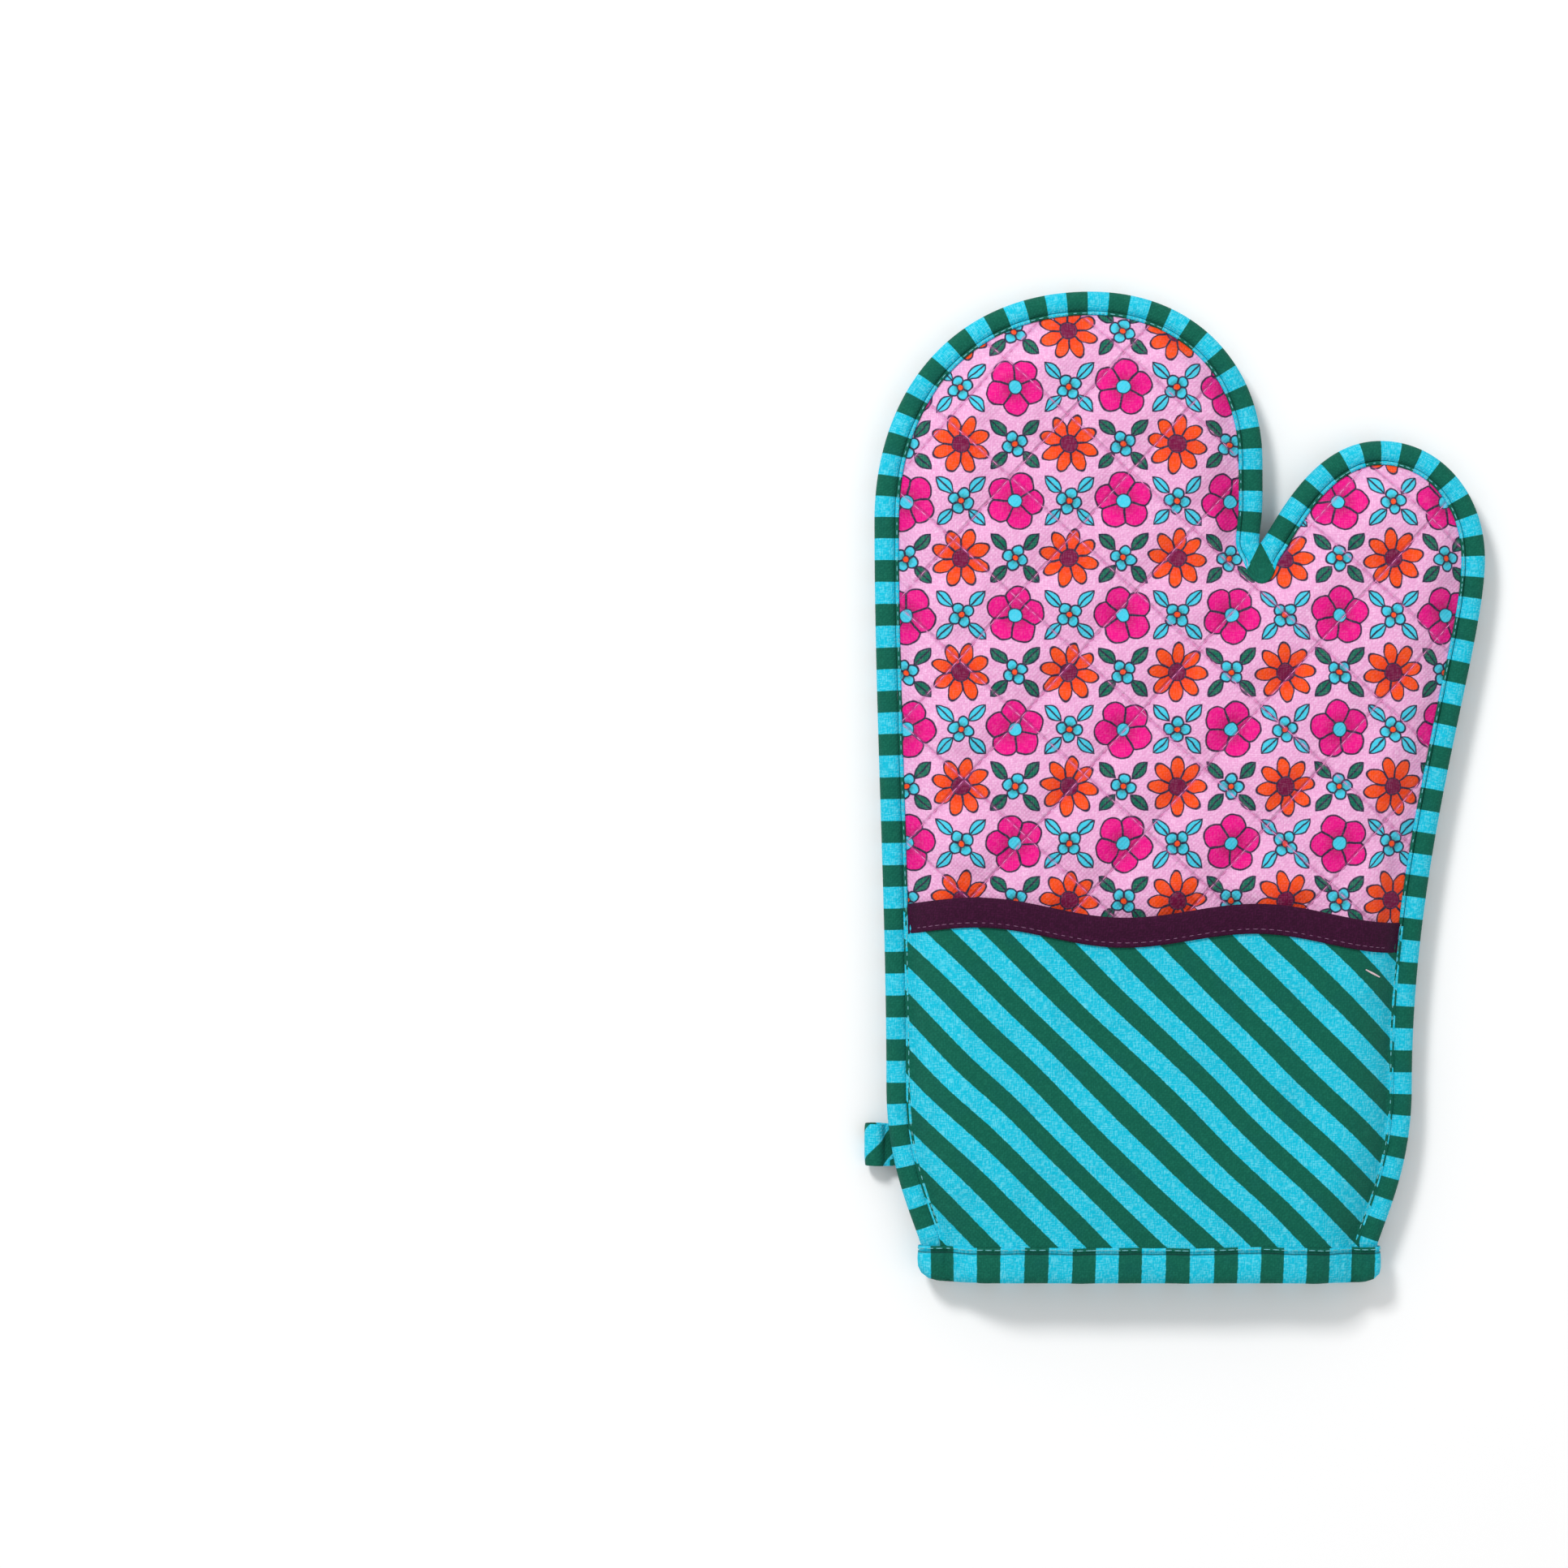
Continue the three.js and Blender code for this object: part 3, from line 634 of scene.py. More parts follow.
class Graph:
    """The node tree of one material."""

    def __init__(self, name: str) -> None:
        """Starts an empty tree for a new material."""
        self.material = bpy.data.materials.new(name)
        self.material.use_nodes = True
        self.tree = self.material.node_tree
        self.tree.nodes.clear()

    def node(
        self, kind: str, settings: dict[str, Any] | None = None, inputs: dict[Any, Any] | None = None
    ) -> bpy.types.Node:
        """Adds a node.

        Args:
            kind: The node's type.
            settings: Its properties, which are set first.
            inputs: Values or links of its sockets, by name or number.

        Returns:
            The node.
        """
        made = self.tree.nodes.new(kind)
        for key, value in (settings or {}).items():
            setattr(made, key, value)
        for key, value in (inputs or {}).items():
            socket = made.inputs[key]
            if isinstance(value, Num):
                value = value.socket
            if isinstance(value, bpy.types.NodeSocket):
                self.tree.links.new(value, socket)
            else:
                socket.default_value = value
        return made

    def math(self, operation: str, *values: Any, use_clamp: bool = False) -> Num:
        """One Math node on numbers or links."""
        settings = {"operation": operation, "use_clamp": use_clamp}
        made = self.node("ShaderNodeMath", settings, dict(enumerate(values)))
        return Num(self, made.outputs[0])

    def object_mm(self) -> tuple[Num, Num, Num]:
        """The place on the piece, in millimetres."""
        place = self.node("ShaderNodeTexCoord").outputs["Object"]
        scaled = self.node("ShaderNodeVectorMath", {"operation": "SCALE"}, {0: place, "Scale": 1000.0})
        return self.split(scaled.outputs[0])

    def run_mm(self) -> tuple[Num, Num]:
        """The place along and across a strip, in millimetres."""
        place = self.node("ShaderNodeUVMap", {"uv_map": "run"}).outputs[0]
        scaled = self.node("ShaderNodeVectorMath", {"operation": "SCALE"}, {0: place, "Scale": 1000.0})
        u, v, _ = self.split(scaled.outputs[0])
        return u, v

    def split(self, vector: bpy.types.NodeSocket) -> tuple[Num, Num, Num]:
        """A vector's three numbers."""
        made = self.node("ShaderNodeSeparateXYZ", None, {0: vector})
        return tuple(Num(self, s) for s in made.outputs)

    def joined(self, x: Any, y: Any, z: Any = 0.0) -> bpy.types.NodeSocket:
        """A vector of three numbers."""
        return self.node("ShaderNodeCombineXYZ", None, {0: x, 1: y, 2: z}).outputs[0]

    def noise(self, x: Any, y: Any, size: float, detail: float = 2.0) -> Num:
        """Noise from 0 to 1 with features of a size in millimetres."""
        made = self.node(
            "ShaderNodeTexNoise",
            {"noise_dimensions": "2D"},
            {"Vector": self.joined(x, y), "Scale": 1.0 / size, "Detail": detail},
        )
        return Num(self, made.outputs[0])

    def paint(self, base: Any, over: Any, share: Any) -> bpy.types.NodeSocket:
        """A colour laid over another by a share of 0 to 1."""
        made = self.node("ShaderNodeMix", {"data_type": "RGBA"}, {0: share, 6: base, 7: over})
        return made.outputs[2]

    def finish(
        self, colour: Any, roughness: Any, height: Any, depth_mm: float, sheen: float, tint: Any
    ) -> bpy.types.Material:
        """Ends the tree in cloth.

        Args:
            colour: Base colour.
            roughness: Roughness.
            height: Bump height from 0 to 1.
            depth_mm: What a height of 1 stands for.
            sheen: Weight of the fibre sheen.
            tint: Colour of that sheen.

        Returns:
            The material.
        """
        depth = {"Strength": 1.0, "Distance": depth_mm * MM, "Height": height}
        bump = self.node("ShaderNodeBump", None, depth)
        cloth = self.node(
            "ShaderNodeBsdfPrincipled",
            None,
            {
                "Base Color": colour,
                "Roughness": roughness,
                "Normal": bump.outputs[0],
                "Sheen Weight": sheen,
                "Sheen Roughness": 0.5,
                "Sheen Tint": tint,
                "Specular IOR Level": 0.2,
            },
        )
        self.node("ShaderNodeOutputMaterial", None, {"Surface": cloth.outputs[0]})
        return self.material


@dataclass(frozen=True)
class Weave:
    """A plain weave: threads of one pitch, with slubs."""

    pitch: float = 0.74

    def height(self, graph: Graph, x: Num, y: Num) -> Num:
        """The height of the crossing threads, from 0 to 1."""
        turn = math.pi / self.pitch
        slub = graph.noise(x, y, 2.3, 3.0) * 1.4
        return ((x * turn + slub).sin() * (y * turn - slub).sin()) * 0.5 + 0.5

    def tone(self, graph: Graph, x: Num, y: Num) -> Num:
        """How pale the cloth is from place to place, from 0 to 1."""
        across = graph.noise(x * 0.25, y * 1.6, 0.62, 1.0)
        down = graph.noise(x * 1.6, y * 0.25, 0.62, 1.0)
        return ((across + down - 0.92) * 2.4).clamp()


@dataclass(frozen=True)
class StripedCloth:
    """Cotton printed in two colours of stripe, with painted shade along its stitched grooves."""

    name: str
    width: float
    slant: float = 0.0
    rigid: bool = False
    wander: float = 0.35
    shift: float = 0.0
    seams: tuple[float, ...] = ()
    turquoise: tuple[float, ...] = srgb(2, 184, 212)
    green: tuple[float, ...] = srgb(0, 88, 70)
    fleck: tuple[float, ...] = srgb(128, 226, 242)
    green_fleck: tuple[float, ...] = srgb(30, 124, 100)
    stain: tuple[float, ...] = srgb(0, 70, 96)
    # Painted shade laid along each stitched groove, and half the width of its line.
    seam_painted_shade: tuple[float, ...] = srgb(0, 36, 36)
    seam_half: float = 0.55
    fibre: tuple[float, ...] = srgb(150, 220, 230)
    weave: Weave = Weave()

    def build(self) -> bpy.types.Material:
        """Makes the material."""
        g = Graph(self.name)
        x, y = g.object_mm()[:2] if self.rigid else g.run_mm()
        drift = (g.noise(x, y, 40.0, 0.0) - 0.5) * 1.9 + (g.noise(x, y, 1.6, 1.0) - 0.5) * 0.3
        cos, sin = math.cos(self.slant), math.sin(self.slant)
        across = x * cos + y * sin + drift * self.wander + self.shift
        place = (across % (2 * self.width)) - self.width
        blue = ((abs(place) - self.width / 2) * 4.0 + 0.5).clamp()
        tone = self.weave.tone(g, x, y)
        lit = g.paint(self.turquoise, self.fleck, tone * 0.5)
        deep = g.paint(self.green, self.green_fleck, tone * 0.3)
        colour = g.paint(deep, lit, blue)
        colour = g.paint(colour, self.stain, (g.noise(x, y, 11.0, 2.0) - 0.5).clamp() * 0.35)
        # Painted shade: a dark line along each stitched groove, where the groove lies in shadow.
        for seam in self.seams:
            shade = (1.0 - abs(g.run_mm()[1] - seam) / self.seam_half).clamp()
            colour = g.paint(colour, self.seam_painted_shade, shade * 0.85)
        height = self.weave.height(g, x, y)
        return g.finish(colour, 0.82 + height * 0.1, height, 0.11, 0.05, self.fibre)


@dataclass(frozen=True)
class PlainCloth:
    """Cotton dyed in one colour."""

    name: str
    dye: tuple[float, ...]
    pale: tuple[float, ...]
    sheen: float = 0.1
    weave: Weave = Weave()

    def build(self) -> bpy.types.Material:
        """Makes the material."""
        g = Graph(self.name)
        x, y = g.run_mm()
        tone = self.weave.tone(g, x, y)
        colour = g.paint(self.dye, self.pale, tone * 0.45)
        height = self.weave.height(g, x, y)
        return g.finish(colour, 0.85 + height * 0.08, height, 0.1, self.sheen, self.pale)


@dataclass(frozen=True)
class Thread:
    """Twisted sewing thread."""

    name: str
    dye: tuple[float, ...]
    shine: tuple[float, ...] = srgb(250, 240, 245)

    def build(self) -> bpy.types.Material:
        """Makes the material."""
        g = Graph(self.name)
        x, y = g.object_mm()[:2]
        twist = ((x + y) * 14.0).sin() * 0.5 + 0.5
        colour = g.paint(self.dye, self.shine, twist * 0.15)
        return g.finish(colour, 0.6 + twist * 0.15, twist, 0.05, 0.2, self.dye)


@dataclass(frozen=True)
class FloralPrint:
    """Pink cotton with a plain calico repeat: two kinds of flower on a chequered grid, and blossoms."""

    column: float = 36.0
    row: float = 38.0
    warp: float = 1.2
    outline: float = 0.4
    edge_softness: float = 4.0
    weave: Weave = Weave()
    ink: tuple[float, ...] = srgb(34, 34, 60)
    ground: tuple[float, ...] = srgb(224, 158, 202)
    pale_ground: tuple[float, ...] = srgb(244, 200, 232)
    fleck: tuple[float, ...] = srgb(246, 214, 240)
    # Painted shade in the dent along each quilting line.
    quilt_painted_shade: tuple[float, ...] = srgb(196, 96, 172)
    fibre: tuple[float, ...] = srgb(250, 220, 245)

    def cell(self, g: Graph, x: Num, y: Num, dx: float, dy: float) -> tuple[Num, Num, Num]:
        """The place counted from the nearest copy of a motif.

        Args:
            g: The graph.
            x: Place across the cloth.
            y: Place along the cloth.
            dx: Where the motif is in the repeat, across, as a share of the column.
            dy: Where it is, along, as a share of the row.

        Returns:
            The two distances from the motif's middle, and an angle that differs from copy to copy.
        """
        across, along = x / self.column - dx, y / self.row - dy
        column, row = g.math("ROUND", across), g.math("ROUND", along)
        return (across - column) * self.column, (along - row) * self.row, column * 1.7 + row * 2.3

    def flower(
        self,
        g: Graph,
        colour: Any,
        place: tuple[Num, Num, Num],
        petals: int,
        petal: tuple[float, float, float],
        dyes: tuple[Any, Any],
        heart: tuple[float, Any],
    ) -> Any:
        """Paints a flower of round petals with a plain disc for its heart.

        Args:
            g: The graph.
            colour: What is painted so far.
            place: The place counted from the flower's middle, and how far the flower is turned.
            petals: How many petals it has.
            petal: How far out a petal's middle is, half its length and half its width.
            dyes: Colour of the petals, and of their inner ends.
            heart: The disc's radius and colour.

        Returns:
            The new colour.
        """
        out, half_length, half_width = petal
        sector = 2 * math.pi / petals
        rho = (place[0] * place[0] + place[1] * place[1]).sqrt()
        theta = g.math("ARCTAN2", place[1], place[0]) - place[2]
        phi = ((theta + sector / 2) % sector) - sector / 2
        along = (rho * phi.cos() - out) / half_length
        aside = (rho * phi.sin()) / half_width
        edge = (1.0 - (along * along + aside * aside).sqrt()) * ((half_length + half_width) / 2)
        edge = edge.most(half_width * 0.8 - rho)
        colour = g.paint(colour, self.ink, ((edge + self.outline) * self.edge_softness).clamp())
        filling = g.paint(dyes[0], dyes[1], (1.2 - rho / out).clamp())
        seam = (rho * (sector / 2 - abs(phi)).sin() - 0.25) * self.edge_softness
        inside = ((edge - 0.2) * self.edge_softness).least(seam).clamp()
        colour = g.paint(colour, filling, inside)
        colour = g.paint(colour, self.ink, ((heart[0] + self.outline - rho) * self.edge_softness).clamp())
        return g.paint(colour, heart[1], ((heart[0] - rho) * self.edge_softness).clamp())

    def leaf(self, g: Graph, colour: Any, place: tuple[Num, Num], reach: float, dye: Any) -> Any:
        """Paints a pointed leaf on each diagonal of a motif.

        Args:
            g: The graph.
            colour: What is painted so far.
            place: The place counted from the motif's middle.
            reach: How far out a leaf's middle is.
            dye: Its colour.

        Returns:
            The new colour.
        """
        half_length, half_width = 3.8, 1.9
        u, v = abs(place[0]), abs(place[1])
        along = ((u + v) * math.sqrt(0.5) - reach) / half_length
        edge = half_width * (1.0 - along * along) - abs(u - v) * math.sqrt(0.5)
        colour = g.paint(colour, self.ink, ((edge + self.outline) * self.edge_softness).clamp())
        rib = (abs(u - v) * math.sqrt(0.5) - 0.15) * self.edge_softness
        return g.paint(colour, dye, ((edge - 0.15) * self.edge_softness).least(rib).clamp())

    def build(self) -> bpy.types.Material:
        """Makes the material."""
        g = Graph("floral_cotton")
        x0, y0 = g.run_mm()
        x = x0 + (g.noise(x0, y0, 6.0, 2.0) - 0.5) * self.warp
        y = y0 + (g.noise(x0 + 90.0, y0, 6.0, 2.0) - 0.5) * self.warp
        tone = self.weave.tone(g, x0, y0)
        colour = g.paint(self.ground, self.pale_ground, tone * 0.6)
        colour = self._motifs(g, colour, x, y)
        colour = g.paint(colour, self.fleck, tone * 0.06)
        groove = self._groove(g, x0, y0)
        # Painted shade darkens the print in the dent along each quilting line.
        colour = g.paint(colour, self.quilt_painted_shade, groove[1] * 0.3)
        height = self.weave.height(g, x0, y0) * 0.12 + groove[0]
        return g.finish(colour, 0.85, height, 0.9, 0.05, self.fibre)

    def _motifs(self, g: Graph, colour: Any, x: Num, y: Num) -> Any:
        """Paints the leaves, the blossoms and the two kinds of flower."""
        aqua, leaf_green = srgb(60, 196, 222), srgb(0, 100, 78)
        orange, ember = srgb(238, 76, 10), srgb(222, 46, 8)
        magenta, wine, plum = srgb(226, 4, 130), srgb(176, 4, 90), srgb(112, 4, 60)
        for dx, dy, dye in ((0.5, 0.0, leaf_green), (0.0, 0.5, aqua)):
            place = self.cell(g, x, y, dx, dy)
            colour = self.leaf(g, colour, place[:2], 7.6, dye)
            colour = self.flower(g, colour, place, 4, (2.3, 2.0, 1.9), (aqua, leaf_green), (1.0, orange))
        daisy, rose = self.cell(g, x, y, 0.0, 0.0), self.cell(g, x, y, 0.5, 0.5)
        colour = self.flower(g, colour, daisy, 8, (6.0, 3.9, 2.2), (orange, ember), (2.9, plum))
        return self.flower(g, colour, rose, 5, (5.2, 4.5, 4.3), (magenta, wine), (2.2, aqua))

    def _groove(self, g: Graph, x: Num, y: Num) -> tuple[Num, Num]:
        """The puckers that the quilting thread draws in: their height, and how close the line is, which sets
        the painted shade in the dent.
        """
        cos, sin, diagonal = math.cos(QUILT_TURN), math.sin(QUILT_TURN), 0.7071
        a = (x - QUILT_ORIGIN[0]) * cos + (y - QUILT_ORIGIN[1]) * sin
        b = (y - QUILT_ORIGIN[1]) * cos - (x - QUILT_ORIGIN[0]) * sin
        period, pucker = 2 * QUILT_GAP, 3.2
        height, near = None, None
        for one, other in ((a + b, a - b), (a - b, a + b)):
            gap = abs(((one + period / 2) % period) - period / 2) * diagonal
            close = (1.0 - gap / 5.5).clamp() ** 2.0
            wave = other * (diagonal * 2 * math.pi / pucker) + g.noise(x, y, 4.0) * 5.0
            draw = (wave.sin() * 0.5 + 0.5) * close
            dent = (1.0 - gap / 0.9).clamp()
            step = 0.35 * draw - 0.6 * dent
            height = step if height is None else height + step
            near = dent if near is None else near.most(dent)
        return height, near


# ---------------------------------------------------------------------------
# Parting pieces at the thumb's fold line
# ---------------------------------------------------------------------------


@dataclass(frozen=True)
class Folds:
    """The fold lines of the fingers and the thumb; pieces are parted at the thumb's."""

    line: CuttingLine
    finger_run: float = 50.0
    thumb_run: float = 34.0
    thumb_start: float = 4.5

    def follow(self, piece: bpy.types.Object, part: Part) -> None:
        """Bakes a finished piece's transform into its points; it does not bend the piece."""
        corner = self.line.crotch
        if part is Part.HAND:
            start = (corner[0] * MM, corner[1] * MM, 0)
            end = (corner[0] * MM, (corner[1] + self.finger_run) * MM, 0)
            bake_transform(piece)
            return
        away = self.line.thumb_away
        start, end = corner + away * self.thumb_start, corner + away * (self.thumb_start + self.thumb_run)
        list(start * MM)
        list(end * MM)
        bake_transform(piece)

    def part_piece(self, whole: bpy.types.Object, names: dict[Part, str]) -> dict[Part, bpy.types.Object]:
        """Parts a piece at the thumb's fold line into two that share their shading there.

        Args:
            whole: The piece, which is removed.
            names: The names of the two.

        Returns:
            The two pieces.
        """
        mesh = whole.data
        normals = np.array([v.normal for v in mesh.vertices])
        points = coordinates(whole)
        past = self.line.on_thumb(points[:, :2])
        made = {}
        for part, name in names.items():
            piece = whole.copy()
            piece.data = mesh.copy()
            piece.name = piece.data.name = name
            bpy.context.collection.objects.link(piece)
            mark = piece.data.attributes.new("source", "INT", "POINT")
            mark.data.foreach_set("value", np.arange(len(points), dtype=np.int32))
            work = bmesh.new()
            work.from_mesh(piece.data)
            work.faces.ensure_lookup_table()
            thumb = part is Part.THUMB
            gone = [f for f in work.faces if (min(past[v.index] for v in f.verts) >= 0) != thumb]
            bmesh.ops.delete(work, geom=gone, context="FACES")
            work.to_mesh(piece.data)
            work.free()
            kept = np.empty(len(piece.data.vertices), np.int32)
            piece.data.attributes["source"].data.foreach_get("value", kept)
            piece.data.attributes.remove(piece.data.attributes["source"])
            piece.data.normals_split_custom_set_from_vertices([tuple(normals[k]) for k in kept])
            made[part] = piece
        bpy.data.objects.remove(whole)
        return made


# ---------------------------------------------------------------------------
# The walls and the lining
# ---------------------------------------------------------------------------


@dataclass
class QuiltedWall:
    """One padded wall: cloth over wadding, quilted in diamonds."""

    wall: Wall
    line: CuttingLine
    section: Section
    folds: Folds
    gap_steps: int = 7
    half_columns: int = 42
    half_rows: int = 66
    drop: float = 80.0
    line_gap: float = 28.284
    edge: float = 3.0
    sink: float = 1.9
    puff: float = 1.5
    frames: int = 14
    surface: bpy.types.Object | None = None

    def lattice(self, m: Array, n: Array) -> Array:
        """Places of the quilting lattice's fine steps."""
        cos, sin, step = math.cos(QUILT_TURN), math.sin(QUILT_TURN), QUILT_GAP / self.gap_steps
        x, y = m * step, n * step - self.drop
        return np.column_stack([QUILT_ORIGIN[0] + x * cos - y * sin, QUILT_ORIGIN[1] + x * sin + y * cos])

    def build(self, name: str) -> dict[Part, bpy.types.Object]:
        """Builds the wall in two pieces, parted at the thumb's fold line.

        Args:
            name: The start of their names.

        Returns:
            The two pieces.
        """
        select_nothing()
        columns, rows = 2 * self.half_columns, 2 * self.half_rows
        bpy.ops.mesh.primitive_grid_add(x_subdivisions=columns, y_subdivisions=rows, size=1)
        sheet = bpy.context.object
        sheet.name = name
        raw = coordinates(sheet) * MM
        m, n = np.rint(raw[:, 0] * columns), np.rint(raw[:, 1] * rows)
        flat = self.lattice(m, n)
        depth = self.line.depth(flat)
        keep = (depth > self.edge) & (flat[:, 1] > self.line.at(0, 2)[1])
        trim(sheet, keep)
        m, n, flat, depth = m[keep], n[keep], flat[keep], depth[keep]
        period = 2 * self.gap_steps
        stitched = ((m + n) % period == 0) | ((m - n) % period == 0)
        height = flat[:, 1] + self.line.shift[1]
        cover = self.section.cover(self.wall, depth, height)
        soft = self.section.dome(depth)
        sign = self.wall.value
        low = cover - sign * self.sink * soft
        bump = np.abs(np.sin(np.pi * (m + n) / period) * np.sin(np.pi * (m - n) / period)) ** 0.42
        start = low + sign * (self.sink + 0.6) * soft * bump
        held = stitched | (depth < self.section.sewn_band + 1.5) | (height < 13)
        start = np.where(held, low, start)
        start[depth < self.section.sewn_band] = cover[depth < self.section.sewn_band]
        move_points(sheet, np.column_stack([flat, start]))
        if self.wall is Wall.BACK:
            sheet.data.flip_normals()
        settled = self._settle(sheet, held)
        limit = low + sign * (self.sink + self.puff) * soft
        settled[:, 2] = np.clip(settled[:, 2], np.minimum(low, limit) - 0.1, np.maximum(low, limit) + 0.1)
        wander = wavers(flat, 34.0, 3.1) * 0.7 + wavers(flat, 9.0, 7.7) * 0.22
        settled[:, 2] += sign * wander * soft
        if self.wall is Wall.BACK:
            settled[:, 2] = np.maximum(settled[:, 2], 0.02)
        move_points(sheet, settled)
        self._close(sheet, self.section.backing(self.wall, depth))
        apply_modifier(sheet, "SUBSURF", levels=1, render_levels=1)
        if self.wall is Wall.BACK:
            points = coordinates(sheet)
            points[:, 2] = np.maximum(points[:, 2], 0.02)
            move_points(sheet, points)
        shade_smooth(sheet)
        self.surface = sheet.copy()
        self.surface.data = sheet.data.copy()
        return self.folds.part_piece(sheet, {part: f"{name}_{part.value}" for part in Part})

    def _settle(self, sheet: bpy.types.Object, held: Array) -> Array:
        """Blows the cloth up between its stitches.

        Args:
            sheet: The cloth.
            held: Which points are sewn down.

        Returns:
            The points where it settles.
        """
        group = sheet.vertex_groups.new(name="sewn")
        group.add([int(k) for k in np.flatnonzero(held)], 1.0, "REPLACE")
        modifier = sheet.modifiers.new("cloth", "CLOTH")
        cloth = modifier.settings
        cloth.quality = 6
        cloth.mass = 0.2
        cloth.tension_stiffness = 20
        cloth.compression_stiffness = 20
        cloth.shear_stiffness = 8
        cloth.bending_stiffness = 0.3
        cloth.air_damping = 4
        cloth.use_pressure = True
        cloth.uniform_pressure_force = 5.0
        cloth.shrink_min = -0.035
        cloth.vertex_group_mass = group.name
        cloth.effector_weights.gravity = 0
        modifier.collision_settings.use_collision = False
        modifier.point_cache.frame_start = 1
        modifier.point_cache.frame_end = self.frames
        scene = bpy.context.scene
        for frame in range(1, self.frames + 1):
            scene.frame_set(frame)
        settled = sheet.evaluated_get(bpy.context.evaluated_depsgraph_get())
        flat = np.empty(len(settled.data.vertices) * 3)
        settled.data.vertices.foreach_get("co", flat)
        scene.frame_set(1)
        sheet.modifiers.remove(modifier)
        sheet.vertex_groups.remove(group)
        moved = flat.reshape(-1, 3) / MM
        start = coordinates(sheet)
        step = moved - start
        length = np.linalg.norm(step, axis=1)[:, None]
        return start + step * np.minimum(1, 3.0 / np.maximum(length, 1e-9))

    def _close(self, sheet: bpy.types.Object, backing: Array) -> None:
        """Closes the cloth with the wadding's inner face, so that the wall is one solid."""
        points = coordinates(sheet)
        inner = points.copy()
        inner[:, 2] = backing
        count = len(points)
        faces = [tuple(p.vertices) for p in sheet.data.polygons]
        seen: dict[tuple[int, int], tuple[int, int]] = {}
        for face in faces:
            for a, b in zip(face, face[1:] + face[:1]):
                key = (min(a, b), max(a, b))
                seen[key] = (-1, -1) if key in seen else (a, b)
        walls = [(b, a, a + count, b + count) for a, b in seen.values() if a >= 0]
        under = [tuple(k + count for k in reversed(face)) for face in faces]
        mesh = bpy.data.meshes.new(sheet.name)
        mesh.from_pydata([tuple(p) for p in np.vstack([points, inner]) * MM], [], faces + under + walls)
        mesh.update()
        sheet.data = mesh


@dataclass
class Lining:
    """The plain cloth inside one wall."""

    wall: Wall
    line: CuttingLine
    section: Section
    folds: Folds
    step: float = 4.0

    def build(self, name: str) -> dict[Part, bpy.types.Object]:
        """Builds the lining in two pieces, parted at the thumb's fold line."""
        low, high = self.line.points.min(0), self.line.points.max(0)
        columns, rows = (int(v) for v in np.ceil((high - low) / self.step))
        select_nothing()
        bpy.ops.mesh.primitive_grid_add(x_subdivisions=columns, y_subdivisions=rows, size=1)
        sheet = bpy.context.object
        sheet.name = name
        flat = (coordinates(sheet)[:, :2] * MM + 0.5) * (high - low) + low
        depth = self.line.depth(flat)
        keep = (depth > 2.5) & (flat[:, 1] > self.line.at(0, 1)[1])
        trim(sheet, keep)
        flat, depth = flat[keep], depth[keep]
        ripple = (wavers(flat, 16.0, 5.0) * 0.35 + wavers(flat, 45.0, 2.0) * 0.25) * self.section.dome(depth)
        middle = self.section.hollow(self.wall, depth) + self.wall.value * self.section.lining / 2
        above = flat[:, 1] + self.line.shift[1]
        calm = smooth(above, 8, 20)
        move_points(sheet, np.column_stack([flat, middle + ripple * calm * 0.5]))
        apply_modifier(sheet, "SOLIDIFY", thickness=self.section.lining * MM, offset=0.0)
        apply_modifier(sheet, "SUBSURF", levels=1, render_levels=1)
        shade_smooth(sheet)
        return self.folds.part_piece(sheet, {part: f"{name}_{part.value}" for part in Part})


# ---------------------------------------------------------------------------
# Tapes
# ---------------------------------------------------------------------------


